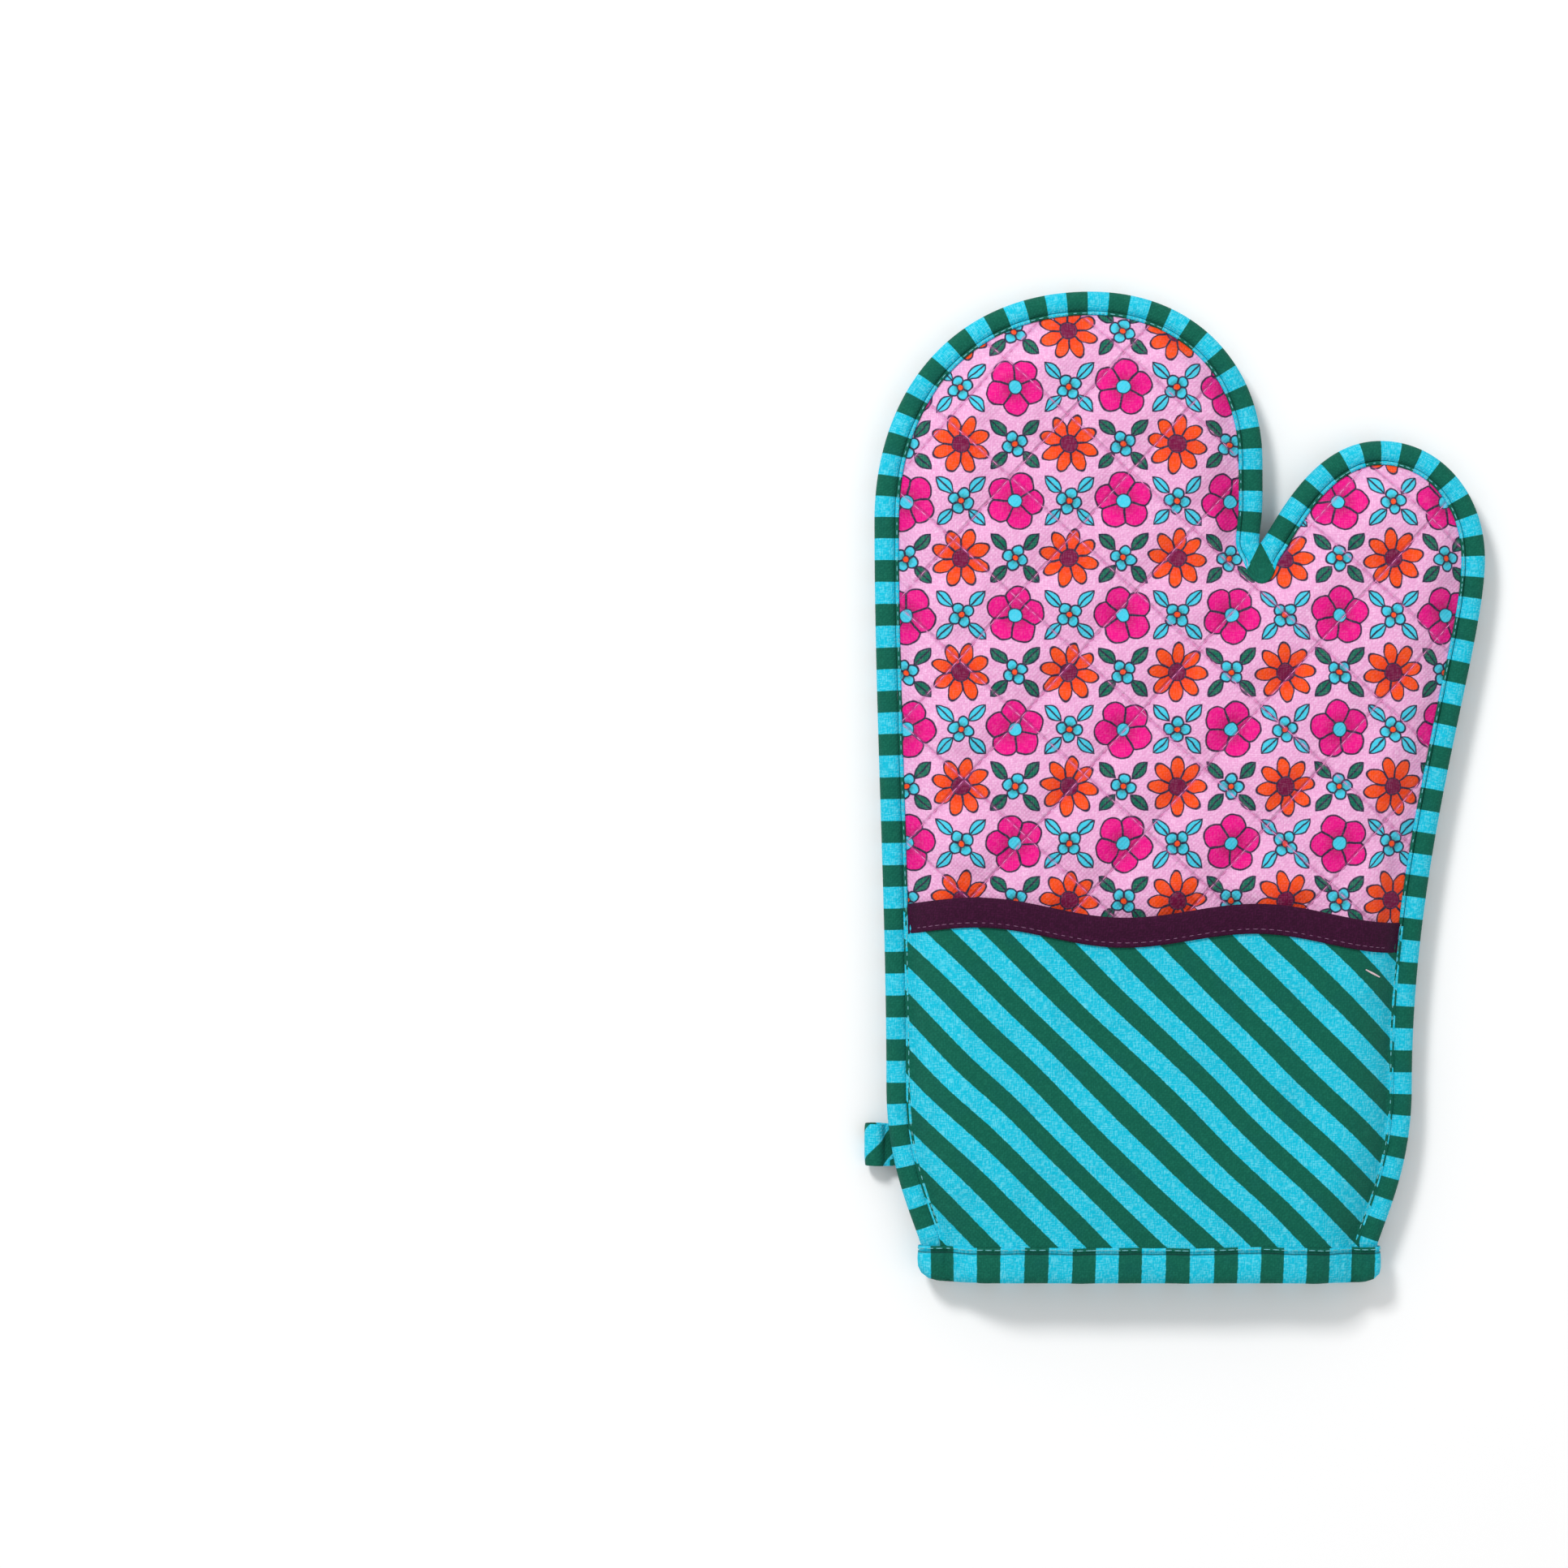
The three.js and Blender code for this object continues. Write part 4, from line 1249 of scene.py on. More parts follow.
@dataclass
class EdgeTape:
    """The striped tape folded over both walls' raw edge, with a row of stitches beside its lip."""

    line: CuttingLine
    section: Section
    folds: Folds
    width: float = 8.2
    stitch_depth: float = 6.75
    crotch_fold: float = 0.72
    fan_reach: int = 5
    stitches: list[Stitch] = field(default_factory=list)

    def profile(self) -> Array:
        """Half of the tape's section, from the lip to the fold: depth and height off the seam plane."""
        inside = 2.6
        return np.array(
            [
                (self.width - 0.15, inside + 0.05),
                (self.width, inside + 0.45),
                (self.width - 0.2, inside + 0.85),
                (self.width - 0.65, inside + 0.98),
                (self.width - 1.1, inside + 0.82),
                (self.stitch_depth, inside - 0.15),
                (self.stitch_depth - 0.4, inside + 0.78),
                (self.stitch_depth - 1.2, inside + 1.15),
                (4.2, inside + 1.35),
                (2.8, inside + 1.2),
                (1.5, inside + 0.7),
                (0.5, inside - 0.25),
                (0.08, inside - 1.5),
                (0.0, 0.0),
            ]
        )

    def seams(self) -> tuple[float, float]:
        """Where the two stitched grooves are across the tape, laid flat."""
        half = self.profile()
        around = run_length(half)
        groove = int(np.argmin(abs(half[:8, 0] - self.stitch_depth)))
        return float(around[groove]), float(2 * around[-1] - around[groove])

    def build(self, name: str) -> dict[Part, bpy.types.Object]:
        """Builds the tape in two pieces that meet at the bottom of the crotch."""
        half = self.profile()
        under = half[:-1][::-1] * (1, -1)
        low = np.array([(self.width - 0.3, -2.45), (2.0, -2.4), (1.1, -1.2)])
        ring = np.vstack([half, under, low, low[::-1] * (1, -1)])
        around = run_length(ring)
        split = self.line.crotch_index
        first = int(np.argmax(self.line.along > self.line.mouth_band - 4.5))
        last = len(self.line.points) - first
        made = {}
        for part, (start, end) in {Part.HAND: (first, split + 1), Part.THUMB: (split, last)}.items():
            made[part] = self._strip(f"{name}_{part.value}", ring, around, start, end)
            self.folds.follow(made[part], part)
        return made

    def _stations(self, start: int, end: int) -> Array:
        """Places along the line: each of its points, and more of them where it turns round the crotch."""
        crotch, reach, between = self.line.crotch_index, self.fan_reach, 8
        fine = crotch + np.arange(-reach * between, reach * between + 1) / between
        fine = fine[(fine >= start) & (fine <= end - 1)]
        return np.unique(np.concatenate([np.arange(start, end), fine]))

    def _along(self, stations: Array) -> tuple[Array, Array, Array]:
        """The points, the inward directions and the distances at some stations."""
        every = np.arange(len(self.line.points))
        points = np.column_stack([np.interp(stations, every, c) for c in self.line.points.T])
        inward = np.column_stack([np.interp(stations, every, c) for c in self.line.inward.T])
        inward /= np.linalg.norm(inward, axis=1)[:, None]
        return points, inward, np.interp(stations, every, self.line.along)

    def _cloth_run(self, stations: Array, points: Array, inward: Array, along: Array, fold: Array) -> Array:
        """Distances along the cloth: round the crotch they are those of the tape's middle."""
        middle = points + inward * (self.width / 2 * (1 + fold))[:, None]
        run = run_length(middle)
        near = abs(stations - self.line.crotch_index) <= self.fan_reach
        edge = np.flatnonzero(near)[0 if stations[0] < self.line.crotch_index - self.fan_reach else -1]
        return np.where(near, along[edge] + run - run[edge], along)

    def _strip(self, name: str, ring: Array, around: Array, start: int, end: int) -> bpy.types.Object:
        """One stretch of the tape."""
        stations = self._stations(start, end)
        points, inwards, along = self._along(stations)
        near = 1 - smooth(abs(along - self.line.along[self.line.crotch_index]), 9.0, 13.0)
        folds = self.crotch_fold * np.clip(-inwards[:, 1], 0, 1) ** 8 * near
        cloth = self._cloth_run(stations, points, inwards, along, folds)
        rows = []
        for station, p, inward, s, fold in zip(stations, points, inwards, along, folds):
            pucker = math.sin(2 * math.pi * s / 2.9 + 2.0 * waver((s, 0), 7.0))
            pull = 0.16 * pucker + 0.35 * waver((s, 4), 6.0, 2.0)
            sway = 0.28 * waver((s, 9), 22.0, 5.0)
            depth = ring[:, 0] * (1 + fold) + sway * (ring[:, 0] / self.width)
            fullness = np.clip(1 - abs(ring[:, 0] - 4.4) / 4.4, 0, 1)
            height = ring[:, 1] + np.sign(ring[:, 1]) * pull * fullness * (abs(ring[:, 1]) > 2.55)
            from_end = min(s, self.line.along[-1] - s)
            height = height * (0.8 + 0.2 * smooth(from_end, 9.5, 12.5))
            height = height + np.sign(ring[:, 1]) * self._climb(depth, ring[:, 1])
            rows.append(np.column_stack([p + inward * depth[:, None], self.section.seam_plane + height]))
            if station == int(station) and (int(station) - start) % 3 == 0:
                self._note_stitch(int(station), sway)
        closing = around[-1] + np.linalg.norm(ring[0] - ring[-1])
        piece = cloth_tube(name, np.array(rows), cloth, around, closing)
        shade_smooth(piece)
        return piece

    def _climb(self, depth: Array, height: Array) -> Array:
        """How much the walls rise under the tape, past the sewn band, where it is folded deeper."""
        clear, share = 150.0, 0.75
        cover = self.section.cover
        front, back = (cover(wall, depth, clear) - cover(wall, self.width, clear) for wall in Wall)
        return np.where(height > 0, np.maximum(front, 0), np.maximum(-back, 0)) * share

    def _note_stitch(self, i: int, sway: float) -> None:
        """Remembers a stitch on each side of the tape."""
        p, inward = self.line.points[i], self.line.inward[i]
        if min(self.line.along[i], self.line.along[-1] - self.line.along[i]) < 12.5:
            return
        if abs(self.line.along[i] - self.line.along[self.line.crotch_index]) < 9.0:
            return
        plan = p + inward * (self.width - 0.68 + sway * 0.9)
        tangent = np.array([-inward[1], inward[0], 0.0])
        for side in (1, -1):
            place = np.array([*plan, self.section.seam_plane + side * 3.58])
            self.stitches.append((place, tangent, np.array([0, 0, float(side)])))


@dataclass
class MouthTape:
    """The striped tape round the mouth: it covers the edge of both walls, inside and out."""

    line: CuttingLine
    section: Section
    width: float = 10.6
    stations: int = 420
    corners: tuple[float, float] = (6.5, 4.5)
    over_edge: float = 1.0
    lip_ring: int = 3
    full_rings: range = range(7, 11)
    seam: float = 2.6
    outer_rings: int = 13
    stitches: list[Stitch] = field(default_factory=list)

    def outline(self, half: float, grow: float, outer: bool, y: float) -> Array:
        """A closed outline across the mouth: rows of x and height, anticlockwise seen from the fingers.

        Args:
            half: Half its width.
            grow: How far it stands off the walls.
            outer: Whether it runs outside the walls or in the hollow.
            y: How far above the mouth it is: its corners are rounded off there.

        Returns:
            The outline.
        """
        turn = np.linspace(0, 2 * math.pi, self.stations, endpoint=False)
        cos, sin = np.cos(turn), np.sin(turn)
        share = np.sign(cos) * abs(cos) ** 0.62
        corner = np.where(cos < 0, self.corners[0], self.corners[1])
        fall = np.clip(1 - (y + 1.4) / corner, 0, 1)
        x = share * (half - corner * (1 - np.sqrt(1 - fall**2)) * outer)
        depth = np.clip(self.line.mouth_width / 2 - abs(x), 1.0, None)
        grow = grow + self.over_edge * (1 - smooth(depth, 6.0, 10.5)) * outer
        mouth = np.zeros(len(x))
        if outer:
            top = self.section.cover(Wall.FRONT, depth, mouth) + grow
            bottom = self.section.cover(Wall.BACK, depth, mouth) - grow
        else:
            top = self.section.hollow(Wall.FRONT, depth) - grow
            bottom = self.section.hollow(Wall.BACK, depth) + grow
        middle, reach = self.section.seam_plane, abs(sin)
        end = np.clip(1 - abs(share) ** (60 if outer else 24), 0, 1) ** 0.5
        top, bottom = middle + (top - middle) * end, middle + (bottom - middle) * end
        return np.column_stack([x, np.where(sin >= 0, top, bottom)])

    def build(self, name: str) -> bpy.types.Object:
        """Builds the tape as one closed band."""
        half = self.line.mouth_width / 2
        lay = self.width
        steps = [
            (half + 0.7, 1.0, True, lay - 0.15),
            (half + 0.8, 1.4, True, lay),
            (half + 0.9, 1.8, True, lay - 0.25),
            (half + 0.9, 1.9, True, lay - 0.75),
            (half + 0.9, 1.7, True, lay - 1.2),
            (half + 0.5, 1.1, True, lay - 1.45),
            (half + 0.9, 1.8, True, lay - 1.8),
            (half + 1.0, 2.1, True, lay - 2.7),
            (half + 1.1, 2.3, True, lay - 4.6),
            (half + 1.1, 2.25, True, 3.6),
            (half + 1.0, 1.9, True, 1.4),
            (half + 0.5, 1.2, True, -0.4),
            (half - 0.4, 0.2, True, -1.2),
            (half - 2.2, -1.2, True, -1.4),
            (half - 5.0, 0.2, False, -1.2),
            (half - 6.2, 1.1, False, -0.3),
            (half - 6.6, 1.5, False, 1.5),
            (half - 6.6, 1.5, False, lay - 2.0),
            (half - 6.5, 1.2, False, lay - 0.6),
            (half - 6.4, 0.75, False, lay - 0.3),
            (half - 6.4, 0.7, False, 2.0),
            (half - 3.0, -2.0, False, 0.3),
            (half - 1.2, 0.6, True, 0.9),
            (half + 0.1, 0.95, True, 2.5),
        ]
        base = self.line.at(0, 0)
        start = self.outline(half, 1.2, True, lay)
        run = run_length(np.vstack([start, start[:1]]))
        sway = np.array([waver((s, 3), 30.0, 1.0) * 0.5 + waver((s, 8), 7.0, 4.0) * 0.25 for s in run[:-1]])
        ripple = 0.25 * np.array([math.sin(2 * math.pi * s / 3.1) for s in run[:-1]])
        rings = []
        for number, (reach, grow, outer, y) in enumerate(steps):
            ring = self.outline(reach, grow, outer, y)
            full = ripple if number in self.full_rings else 0.0
            lift = np.sign(ring[:, 1] - self.section.seam_plane) * full * 0.5
            height = np.maximum(ring[:, 1] + lift, 0.05)
            up = np.full(len(ring), y + base[1]) + sway * (number < self.outer_rings)
            place = np.column_stack([ring[:, 0] + base[0], up, height])
            rings.append(place)
            if number == self.lip_ring:
                self._note_stitches(place)
        points = np.vstack(rings)
        faces = tube_sheet(len(rings), self.stations, closed_rows=True)
        across = run_length(np.array([ring[0] for ring in rings + rings[:1]]))
        uv = []
        for r in range(len(rings)):
            for c in range(self.stations):
                near, far = across[r], across[r + 1]
                uv += [(run[c], near), (run[c + 1], near), (run[c + 1], far), (run[c], far)]
        piece = mesh_piece(name, points, faces, np.array(uv) * MM)
        face_outwards(piece)
        shade_smooth(piece)
        return piece

    def _note_stitches(self, ring: Array) -> None:
        """Remembers the row of stitches."""
        gaps = np.linalg.norm(np.diff(np.vstack([ring, ring[:1]]), axis=0), axis=1)
        run, due = 0.0, 0.0
        for k, gap in enumerate(gaps):
            run += gap
            if run < due:
                continue
            due += 3.0
            tangent = ring[(k + 1) % len(ring)] - ring[k]
            tangent = tangent / np.linalg.norm(tangent)
            up = np.array([-tangent[2], 0, tangent[0]]) * (-1 if tangent[0] < 0 else 1)
            side = 1.0 if ring[k][2] > self.section.seam_plane else -1.0
            up = up * side if up[2] * side < 0 else up
            self.stitches.append((ring[k] + up * 0.1, tangent, up))


# ---------------------------------------------------------------------------
# The pocket
# ---------------------------------------------------------------------------


@dataclass
class Pocket:
    """The striped patch over the cuff, caught at its sides and foot, with a plum edge that stays loose."""

    line: CuttingLine
    section: Section
    height: float = 123.3
    slope: float = 0.022
    wave: float = 2.8
    wave_length: float = 93.0
    crest: float = 36.0
    tape_width: float = 10.0
    cloth: float = 0.7
    slack: float = 3.8
    side_depth: float = 6.6
    across: int = 110
    up: int = 90
    stations: int = 220
    tuck: float = 0.0078
    stitches: list[Stitch] = field(default_factory=list)

    def top(self, share: Array) -> Array:
        """How high the loose edge is above the mouth, from the left side (0) to the right (1)."""
        y = self.height - self.line.shift[1]
        left, right = (float(self.line.side_x(y, side, self.side_depth)) for side in (-1, 1))
        x = left + (right - left) * np.asarray(share, float) + self.line.shift[0]
        turn = 2 * math.pi * (x - self.crest) / self.wave_length
        return self.height - self.slope * x + self.wave * np.cos(turn)

    def gape(self, share: Array, above: Array) -> Array:
        """The share of the pocket's opening that each place takes part in, from 0 at the seams."""
        foot = self.line.mouth_band
        climb = np.clip((above - foot) / (self.top(share) - foot), 0, 1)
        return np.sin(math.pi * np.clip(share, 0, 1)) ** 0.8 * climb**1.6

    def place(self, share: Array, above: Array, lift: Array | float) -> Array:
        """Places on the pocket.

        Args:
            share: From the left side (0) to the right (1).
            above: Heights above the mouth.
            lift: How far off the pocket's underside.

        Returns:
            Rows of x, y and z.
        """
        y = above - self.line.shift[1]
        left, right = (self.line.side_x(y, side, self.side_depth) for side in (-1, 1))
        x = left + (right - left) * share
        flat = np.column_stack([x, y])
        depth = np.minimum(x - self.line.side_x(y, -1, 0.0), self.line.side_x(y, 1, 0.0) - x)
        climb = np.clip((above - self.line.mouth_band) / (self.top(share) - self.line.mouth_band), 0, 1)
        base = self.section.cover(Wall.FRONT, depth, above)
        off = smooth(depth, self.side_depth, self.side_depth + 6.0)
        rest = 0.3 + (0.6 * smooth(above, self.line.mouth_band - 1, self.line.mouth_band + 12) + climb) * off
        bow = self.slack * np.sin(math.pi * np.clip(share, 0, 1)) * climb**2
        slanted = flat @ np.array([[0.8, 0.5], [-0.3, 1.0]])
        crease = wavers(flat, 40.0, 9.0) * 0.9 + wavers(slanted, 14.0, 4.0) * 0.22
        calm = np.clip(off, 0, 1) * smooth(above, self.line.mouth_band, self.line.mouth_band + 20)
        return np.column_stack([x, y, base + rest + bow + crease * calm * 0.8 + 0.2 * calm + lift])

    def build_panel(self, name: str) -> bpy.types.Object:
        """Builds the striped patch."""
        shares = np.linspace(0, 1, self.across + 1)
        foot = 6.0
        rows = []
        for k in range(self.up + 1):
            above = foot + (self.top(shares) - 1.2 - foot) * k / self.up
            rows.append(self.place(shares, above, 0.35))
        columns = self.across + 1
        faces = [
            (r * columns + c, r * columns + c + 1, (r + 1) * columns + c + 1, (r + 1) * columns + c)
            for r in range(self.up)
            for c in range(self.across)
        ]
        piece = mesh_piece(name, np.vstack(rows), faces)
        apply_modifier(piece, "SOLIDIFY", thickness=self.cloth * MM, offset=0.0)
        shade_smooth(piece, 60)
        self.follow(piece)
        return piece

    def build_tape(self, name: str) -> bpy.types.Object:
        """Builds the plum tape folded over the loose edge."""
        over, under = self.cloth + 0.3, -0.3
        section = np.array(
            [
                (0.0, 0.35, 0.0),
                (0.15, over + 0.45, 0.0),
                (0.9, over + 0.8, 0.0),
                (3.5, over + 0.95, 1.0),
                (self.tape_width - 3.2, over + 0.85, 1.0),
                (self.tape_width - 1.6, over + 0.4, 0.3),
                (self.tape_width - 0.9, over + 0.68, 0.0),
                (self.tape_width - 0.1, over + 0.6, 0.0),
                (self.tape_width, over + 0.15, 0.0),
                (self.tape_width - 0.3, over, 0.0),
                (1.0, over, 0.0),
                (0.8, 0.35, 0.0),
                (1.0, under, 0.0),
                (self.tape_width - 0.3, under, 0.0),
                (self.tape_width, under - 0.15, 0.0),
                (self.tape_width - 0.1, under - 0.6, 0.0),
                (1.5, under - 0.8, 0.0),
                (0.3, under - 0.5, 0.0),
            ]
        )
        share = np.linspace(self.tuck, 1 - self.tuck, self.stations)
        run = run_length(self.place(share, self.top(share), 0.0))
        rings = []
        ruck = np.array([waver((s, 2), 8.0, 6.0) * 0.3 + waver((s, 2), 3.2, 8.0) * 0.16 for s in run])
        open_run = smooth(np.minimum(run, run[-1] - run), 1.4, 6.0)
        for below, lift, soft in section:
            full = lift + soft * ruck
            pinched = full - np.maximum(full - over, 0) * 0.6 * (1 - open_run)
            rings.append(self.place(share, self.top(share) - below, pinched))
        around = run_length(section[:, :2])
        piece = cloth_tube(name, np.array(rings).transpose(1, 0, 2), run, around, around[-1] + 1.0)
        shade_smooth(piece)
        self._note_stitches(share, run, over)
        self.follow(piece)
        return piece

    def _note_stitches(self, share: Array, run: Array, over: float) -> None:
        """Remembers the fine row of stitches above the tape's lower edge."""
        for s in np.arange(6.0, run[-1] - 6.0, 2.7):
            here = np.array([np.interp(s, run, share), np.interp(s + 1.0, run, share)])
            two = self.place(here, self.top(here) - (self.tape_width - 1.6), over + 0.5)
            tangent = two[1] - two[0]
            self.stitches.append((two[0], tangent / np.linalg.norm(tangent), np.array([0, 0, 1.0])))

    def thread_end(self) -> Stitch:
        """The place, direction and normal of the loose end of thread below the edge, near the right side."""
        share = np.array([0.925, 0.962])
        two = self.place(share, self.top(share) - np.array([16.0, 18.4]), self.cloth + 0.45)
        tangent = two[1] - two[0]
        return two.mean(0), tangent / np.linalg.norm(tangent), np.array([0, 0, 1.0])

    def follow(self, piece: bpy.types.Object) -> None:
        """Bakes a piece's transform into its points; the gape share it works out for each point is not used.
        """
        foot = self.line.mouth_band - self.line.shift[1]
        foot * MM
        (foot + self.height) * MM
        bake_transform(piece)
        points = coordinates(piece)
        left, right = (self.line.side_x(points[:, 1], side, self.side_depth) for side in (-1, 1))
        share = (points[:, 0] - left) / (right - left)
        weight = self.gape(share, points[:, 1] + self.line.shift[1])


# ---------------------------------------------------------------------------
# The hanging loop
# ---------------------------------------------------------------------------


@dataclass
class HangingLoop:
    """A folded strip of striped cloth that stands out from the left side seam."""

    width: float = 14.0
    cloth: float = 0.9
    lanes: int = 15
    sewn_end: float = 0.8
    free_from: float = -1.8

    def build(self, name: str) -> bpy.types.Object:
        """Builds the loop round the same eye as the CAD's."""
        low, high = (np.array(v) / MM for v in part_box("hanging_loop"))
        pivot_x, middle_z = high[0] - 0.9, (low[2] + high[2]) / 2
        half = self.cloth / 2
        reach, spread = high[0] - low[0] - 0.9, (high[2] - low[2]) / 2
        side, tip = spread - half, -reach + half
        # The strip's middle line, from the seam out round the eye and back.
        curves = (
            ([(2.6, -0.5), (1.2, -0.5), (0.2, -0.5), (-0.4, -0.9)], 5),
            ([(-0.4, -0.9), (-1.2, -1.6), (-1.4, -side), (-3.2, -side)], 8),
            ([(-3.2, -side), (-5.6, -side), (tip, -2.6), (tip, -0.2)], 10),
            ([(tip, -0.2), (tip, 2.4), (-5.4, side), (-3.2, side)], 10),
            ([(-3.2, side), (-1.4, side), (-1.0, 1.4), (-0.4, 0.9)], 8),
            ([(-0.4, 0.9), (0.2, 0.5), (1.2, 0.5), (2.6, 0.5)], 5),
        )
        path = np.vstack([bezier(curve, steps)[1 if k else 0 :] for k, (curve, steps) in enumerate(curves)])
        run = run_length(path)
        tangent = np.gradient(path, axis=0)
        tangent /= np.linalg.norm(tangent, axis=1)[:, None]
        normal = np.column_stack([-tangent[:, 1], tangent[:, 0]])
        middle_y = (low[1] + high[1]) / 2
        lanes = np.linspace(-0.5, 0.5, self.lanes)
        rows = []
        for p, n, s in zip(path, normal, run):
            ring = []
            skew = 0.2 * math.sin(s * 0.2)
            for face in (1, -1):
                for lane in lanes if face > 0 else lanes[::-1]:
                    edge = 1 - abs(2 * lane) ** 6 * 0.55
                    wobble = 0.12 * waver((s, lane * self.width), 4.0, 3.0)
                    x, z = p + n * (face * half * edge + wobble)
                    ring.append((x + pivot_x, middle_y + lane * self.width + skew, max(z + middle_z, 0.1)))
            rows.append(ring)
        around = np.concatenate([lanes, lanes[::-1]]) * self.width
        piece = cloth_tube(name, np.array(rows), run, around, around[0])
        shade_smooth(piece, 70)
        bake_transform(piece)
        return piece


# ---------------------------------------------------------------------------
# Stitching
# ---------------------------------------------------------------------------


@dataclass
class Stitching:
    """Rows of stitches, each a short plump length of thread."""

    length: float = 2.1
    thick: float = 0.36

    def template(self) -> tuple[Array, list[tuple[int, ...]]]:
        """One stitch along X, pressed a little into the cloth at both ends."""
        select_nothing()
        bpy.ops.mesh.primitive_cylinder_add(vertices=5, radius=0.5, depth=1, end_fill_type="NOTHING")
        made = bpy.context.object
        select_only(made)
        bpy.ops.object.mode_set(mode="EDIT")
        bpy.ops.mesh.select_all(action="SELECT")
        bpy.ops.mesh.subdivide(number_cuts=1)
        bpy.ops.object.mode_set(mode="OBJECT")
        apply_modifier(made, "WELD", merge_threshold=0.001)
        work = bmesh.new()
        work.from_mesh(made.data)
        bmesh.ops.holes_fill(work, edges=work.edges, sides=0)
        work.verts.ensure_lookup_table()
        points = np.array([v.co for v in work.verts])
        faces = [tuple(v.index for v in f.verts) for f in work.faces]
        work.free()
        bpy.data.objects.remove(made)
        x = points[:, 2]
        taper = 1 - 0.45 * (abs(x) * 2) ** 2
        thick = self.thick * taper
        points = np.column_stack([x * self.length, points[:, 0] * thick, points[:, 1] * thick])
        points[:, 2] -= 0.16 * (abs(x) * 2) ** 2
        return points, faces

    def sew(self, name: str, stitches: Sequence[Stitch]) -> bpy.types.Object:
        """Lays a copy of the stitch at each place.

        Args:
            name: The piece's name.
            stitches: The place, the direction and the upward normal of each.

        Returns:
            The piece.
        """
        points, faces = self.template()
        spots, joined = [], []
        for k, (place, tangent, up) in enumerate(stitches):
            side = np.cross(up, tangent)
            side /= np.linalg.norm(side)
            up = np.cross(tangent, side)
            spots.append(points @ np.array([tangent, side, up]) + place)
            joined += [tuple(i + k * len(points) for i in f) for f in faces]
        piece = mesh_piece(name, np.vstack(spots), joined)
        face_outwards(piece)
        shade_smooth(piece, 50)
        return piece

    def quilting(self, wall: QuiltedWall) -> list[Stitch]:
        """The stitches of the quilting lines, laid on the wall as it has settled."""
        mesh = wall.surface.data
        tree = BVHTree.FromPolygons([v.co[:] for v in mesh.vertices], [p.vertices[:] for p in mesh.polygons])
        drop = wall.drop * np.array([math.sin(QUILT_TURN), -math.cos(QUILT_TURN)])
        base = np.array(QUILT_ORIGIN) + drop
        along = np.arange(-300, 300, 3.1)[:, None]
        made = []
        for family in (1, -1):
            across = math.pi / 4 * family + QUILT_TURN
            direction = np.array([math.cos(across), math.sin(across)])
            normal = np.array([-direction[1], direction[0]])
            for k in range(-14, 15):
                flat = base + normal * (k * wall.line_gap) + direction * along
                depth = wall.line.depth(flat)
                above = flat[:, 1] + wall.line.shift[1]
                for p in flat[(depth > 8.6) & (above > 12)]:
                    stitch = self._on_wall(tree, p, direction, wall.wall.value)
                    if stitch:
                        made.append(stitch)
        return made

    def _on_wall(self, tree: BVHTree, p: Array, direction: Array, sign: int) -> Stitch | None:
        """One stitch on the wall's outer face, or None where there is no cloth."""
        hits = []
        for step in (-0.9, 0.9):
            spot = p + direction * step
            origin = Vector((spot[0] * MM, spot[1] * MM, 0.05 * sign))
            hit = tree.ray_cast(origin, Vector((0, 0, -sign)))
            if hit[0] is None:
                return None
            hits.append((np.array(hit[0]) / MM, np.array(hit[1])))
        tangent = hits[1][0] - hits[0][0]
        up = hits[0][1] + hits[1][1]
        up /= np.linalg.norm(up)
        if up[2] * sign < 0:
            up = -up
        place = (hits[0][0] + hits[1][0]) / 2 + up * 0.12
        place[2] = max(place[2], 0.25)
        return place, tangent / np.linalg.norm(tangent), up


# ---------------------------------------------------------------------------
# The room
# ---------------------------------------------------------------------------


@dataclass(frozen=True)
class Studio:
    """A pale floor, soft lamps and a camera straight above."""

    frame_width: float = 0.5278
    camera_height: float = 1.9
    aim: tuple[float, float] = (-0.1309, 0.0008)
    sensor: float = 36.0
    ambient: float = 0.66

    def build(self) -> None:
        """Sets the room up."""
        self._floor()
        self._lamp("key", (-0.95, 1.35, 1.75), 0.5, 34.0)
        self._lamp("fill", (1.1, -0.7, 1.6), 1.6, 4.0)
        world = bpy.data.worlds.new("studio")
        bpy.context.scene.world = world
        world.use_nodes = True
        background = world.node_tree.nodes["Background"]
        background.inputs[0].default_value = (1, 1, 1, 1)
        background.inputs[1].default_value = self.ambient
        bpy.context.scene.view_settings.view_transform = "Standard"
        bpy.ops.object.camera_add(location=(*self.aim, self.camera_height), rotation=(0, 0, 0))
        camera = bpy.context.object
        camera.data.sensor_width = self.sensor
        camera.data.lens = self.sensor * self.camera_height / self.frame_width
        camera.data.clip_end = 20.0
        bpy.context.scene.camera = camera

    def _floor(self) -> None:
        """Adds the floor."""
        select_nothing()
        bpy.ops.mesh.primitive_plane_add(size=6.0, location=(0, 0, 0))
        floor = bpy.context.object
        floor.name = "floor"
        g = Graph("paper_floor")
        finish = {"Base Color": (0.93, 0.93, 0.93, 1), "Roughness": 0.9}
        paper = g.node("ShaderNodeBsdfPrincipled", None, finish)
        g.node("ShaderNodeOutputMaterial", None, {"Surface": paper.outputs[0]})
        dress(floor, g.material)

    def _lamp(self, name: str, place: tuple[float, float, float], size: float, power: float) -> None:
        """Adds a square lamp aimed at the mitt."""
        bpy.ops.object.light_add(type="AREA", location=place)
        lamp = bpy.context.object
        lamp.name = name
        lamp.data.size = size
        lamp.data.energy = power
        lamp.rotation_euler = (-Vector(place)).to_track_quat("-Z", "Y").to_euler()


# ---------------------------------------------------------------------------
# Putting it together
# ---------------------------------------------------------------------------


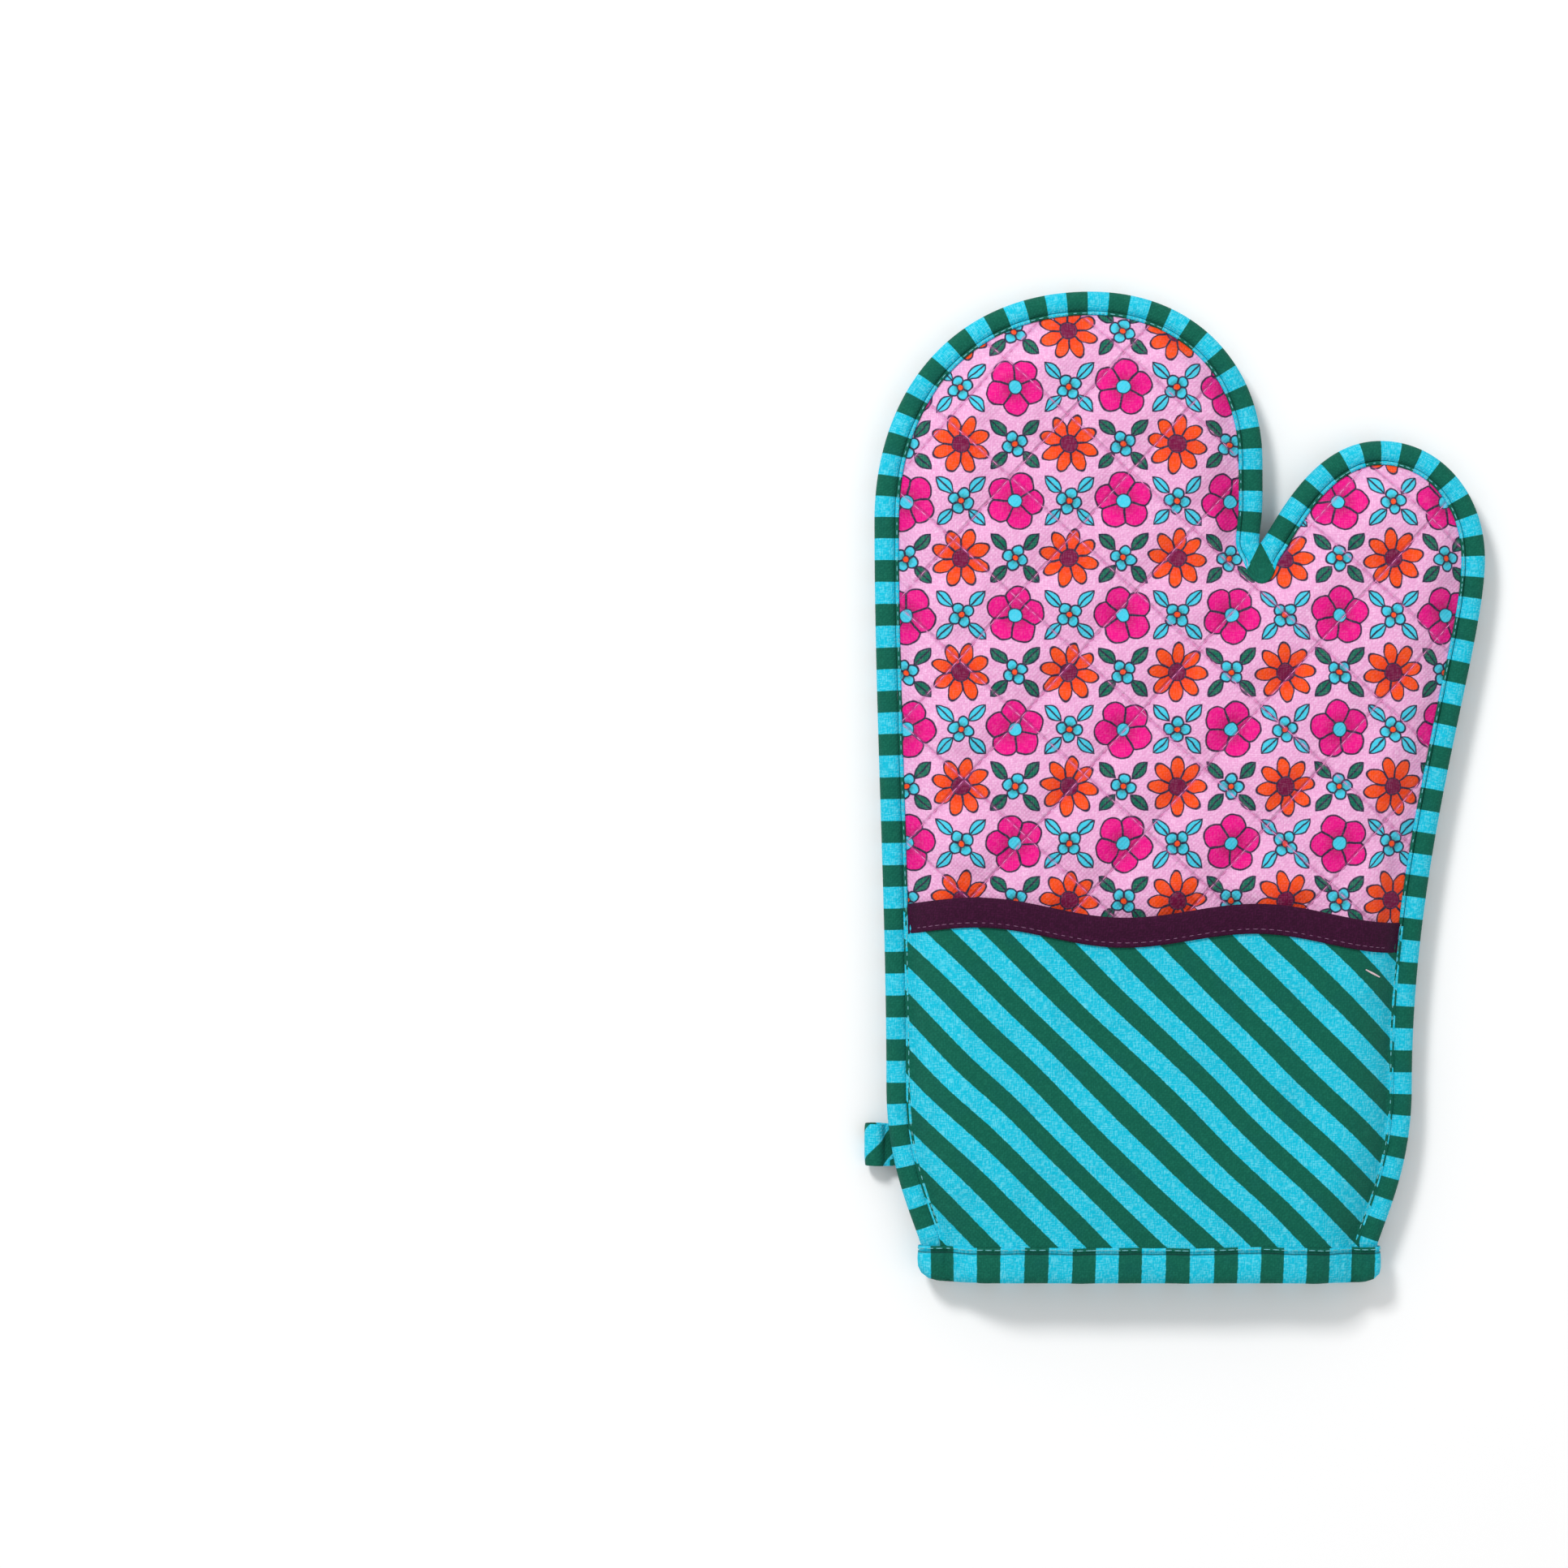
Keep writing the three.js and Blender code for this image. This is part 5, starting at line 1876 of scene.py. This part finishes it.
@dataclass
class Mitt:
    """The whole mitt: walls, lining, tapes, pocket, loop and stitching."""

    line: CuttingLine = field(default_factory=CuttingLine)
    section: Section = field(default_factory=Section)

    def __post_init__(self) -> None:
        """Makes the finishes and the fold lines."""
        self.folds = Folds(self.line)
        self.print = FloralPrint().build()
        edge_seams = EdgeTape(self.line, self.section, self.folds).seams()
        self.tape_stripes = StripedCloth("striped_tape", 7.28, shift=2.4, seams=edge_seams).build()
        self.mouth_stripes = StripedCloth(
            "striped_mouth_tape", 7.81, rigid=True, wander=1.0, shift=7.7, seams=(MouthTape.seam,)
        ).build()
        self.pocket_stripes = StripedCloth("striped_pocket", 6.37, slant=0.797, wander=1.0, shift=7.1).build()
        self.loop_stripes = StripedCloth("striped_loop", 6.4, slant=-0.75, shift=3.0).build()
        self.plum = PlainCloth("plum_tape", srgb(48, 4, 37), srgb(80, 18, 64), sheen=0.02).build()
        self.lining_cloth = PlainCloth("lining_cotton", srgb(24, 150, 190), srgb(90, 200, 225)).build()
        self.pink_thread = Thread("pink_thread", srgb(224, 128, 186)).build()
        self.pale_thread = Thread("pale_thread", srgb(238, 206, 214)).build()
        self.teal_thread = Thread("teal_thread", srgb(92, 182, 190)).build()
        self.mauve_thread = Thread("mauve_thread", srgb(118, 66, 108)).build()

    def build(self) -> None:
        """Builds every piece."""
        self._walls()
        self._linings()
        self._tapes()
        self._pocket()
        self._loop()

    def _report(self, *pieces: bpy.types.Object) -> None:
        """Logs each piece."""
        for piece in pieces:
            log.info("%s: %d points", piece.name, len(piece.data.vertices))

    def _finish(self, piece: bpy.types.Object, material: bpy.types.Material) -> None:
        """Gives a piece its material."""
        dress(piece, material)

    def _sew_part(
        self, sewing: Stitching, rows: str, stitches: Sequence[Stitch], part: Part, thread: Any
    ) -> bpy.types.Object:
        """Sews those of some stitches that lie on the hand or on the thumb.

        Args:
            sewing: How a stitch looks.
            rows: The start of the piece's name.
            stitches: All the stitches.
            part: Which part is sewn.
            thread: The thread's material.

        Returns:
            The piece.
        """
        past = self.line.on_thumb(np.array([s[0][:2] for s in stitches])) >= 0
        own = [s for s, p in zip(stitches, past) if p == (part is Part.THUMB)]
        piece = sewing.sew(f"{rows}_{part.value}", own)
        self._finish(piece, thread)
        self.folds.follow(piece, part)
        return piece

    def _walls(self) -> None:
        """The quilted walls and their stitches."""
        sewing = Stitching()
        for wall in Wall:
            side = wall.name.lower()
            made = QuiltedWall(wall, self.line, self.section, self.folds)
            pieces = made.build(f"{side}_wall")
            stitches = sewing.quilting(made)
            bpy.data.objects.remove(made.surface)
            for part, piece in pieces.items():
                map_from_above(piece)
                self._finish(piece, self.print)
                self.folds.follow(piece, part)
                rows = f"{side}_quilting"
                thread = self._sew_part(sewing, rows, stitches, part, self.pink_thread)
                self._report(piece, thread)
            ends = {Part.HAND: ("palm", "fingers"), Part.THUMB: ("thumb",)}
            for part, bodies in ends.items():
                nodes = [f"{side}_{layer}_{body}" for body in bodies for layer in ("shell", "wadding")]
                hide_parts(*nodes)

    def _linings(self) -> None:
        """The lining of both walls."""
        for wall in Wall:
            side = wall.name.lower()
            pieces = Lining(wall, self.line, self.section, self.folds).build(f"lining_{side}")
            for part, piece in pieces.items():
                map_from_above(piece)
                self._finish(piece, self.lining_cloth)
                self.folds.follow(piece, part)
                self._report(piece)
            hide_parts(f"{side}_lining_palm", f"{side}_lining_fingers")
            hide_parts(f"{side}_lining_thumb")

    def _tapes(self) -> None:
        """The tapes round the hand and the mouth, with their stitches."""
        sewing = Stitching(length=2.1, thick=0.34)
        edge = EdgeTape(self.line, self.section, self.folds)
        pieces = edge.build("edge_binding")
        nodes = {
            Part.HAND: ("edge_tape_left", "edge_tape_fingers", "edge_tape_crotch"),
            Part.THUMB: ("edge_tape_thumb", "edge_tape_right"),
        }
        for part, piece in pieces.items():
            self._finish(piece, self.tape_stripes)
            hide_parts(*nodes[part])
            thread = self._sew_part(sewing, "edge_stitches", edge.stitches, part, self.teal_thread)
            self._report(piece, thread)
        mouth = MouthTape(self.line, self.section)
        band = mouth.build("mouth_band")
        self._finish(band, self.mouth_stripes)
        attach(band, "palm")
        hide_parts("mouth_tape")
        thread = sewing.sew("mouth_stitches", mouth.stitches)
        self._finish(thread, self.teal_thread)
        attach(thread, "palm")
        self._report(band, thread)

    def _pocket(self) -> None:
        """The pocket, its tape and its stitches."""
        pocket = Pocket(self.line, self.section)
        panel = pocket.build_panel("pocket_cloth")
        map_from_above(panel)
        self._finish(panel, self.pocket_stripes)
        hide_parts("pocket_panel")
        tape = pocket.build_tape("pocket_edge")
        self._finish(tape, self.plum)
        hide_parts("pocket_tape")
        tail = Stitching(length=6.6, thick=0.7).sew("pocket_thread_end", [pocket.thread_end()])
        self._finish(tail, self.pale_thread)
        pocket.follow(tail)
        thread = Stitching(length=1.7, thick=0.26).sew("pocket_stitches", pocket.stitches)
        self._finish(thread, self.mauve_thread)
        pocket.follow(thread)
        self._report(panel, tape, thread, tail)

    def _loop(self) -> None:
        """The hanging loop and the ends sewn under the tape."""
        loop = HangingLoop().build("loop_strip")
        self._finish(loop, self.loop_stripes)
        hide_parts("hanging_loop")
        dress(bpy.data.objects["loop_tab"], self.mouth_stripes)
        self._report(loop)


def main() -> None:
    """Builds the room and the mitt."""
    logging.basicConfig(level=logging.INFO, format="%(name)s %(message)s")
    Studio().build()
    Mitt().build()


if __name__ == "__main__":
    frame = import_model()
    main()
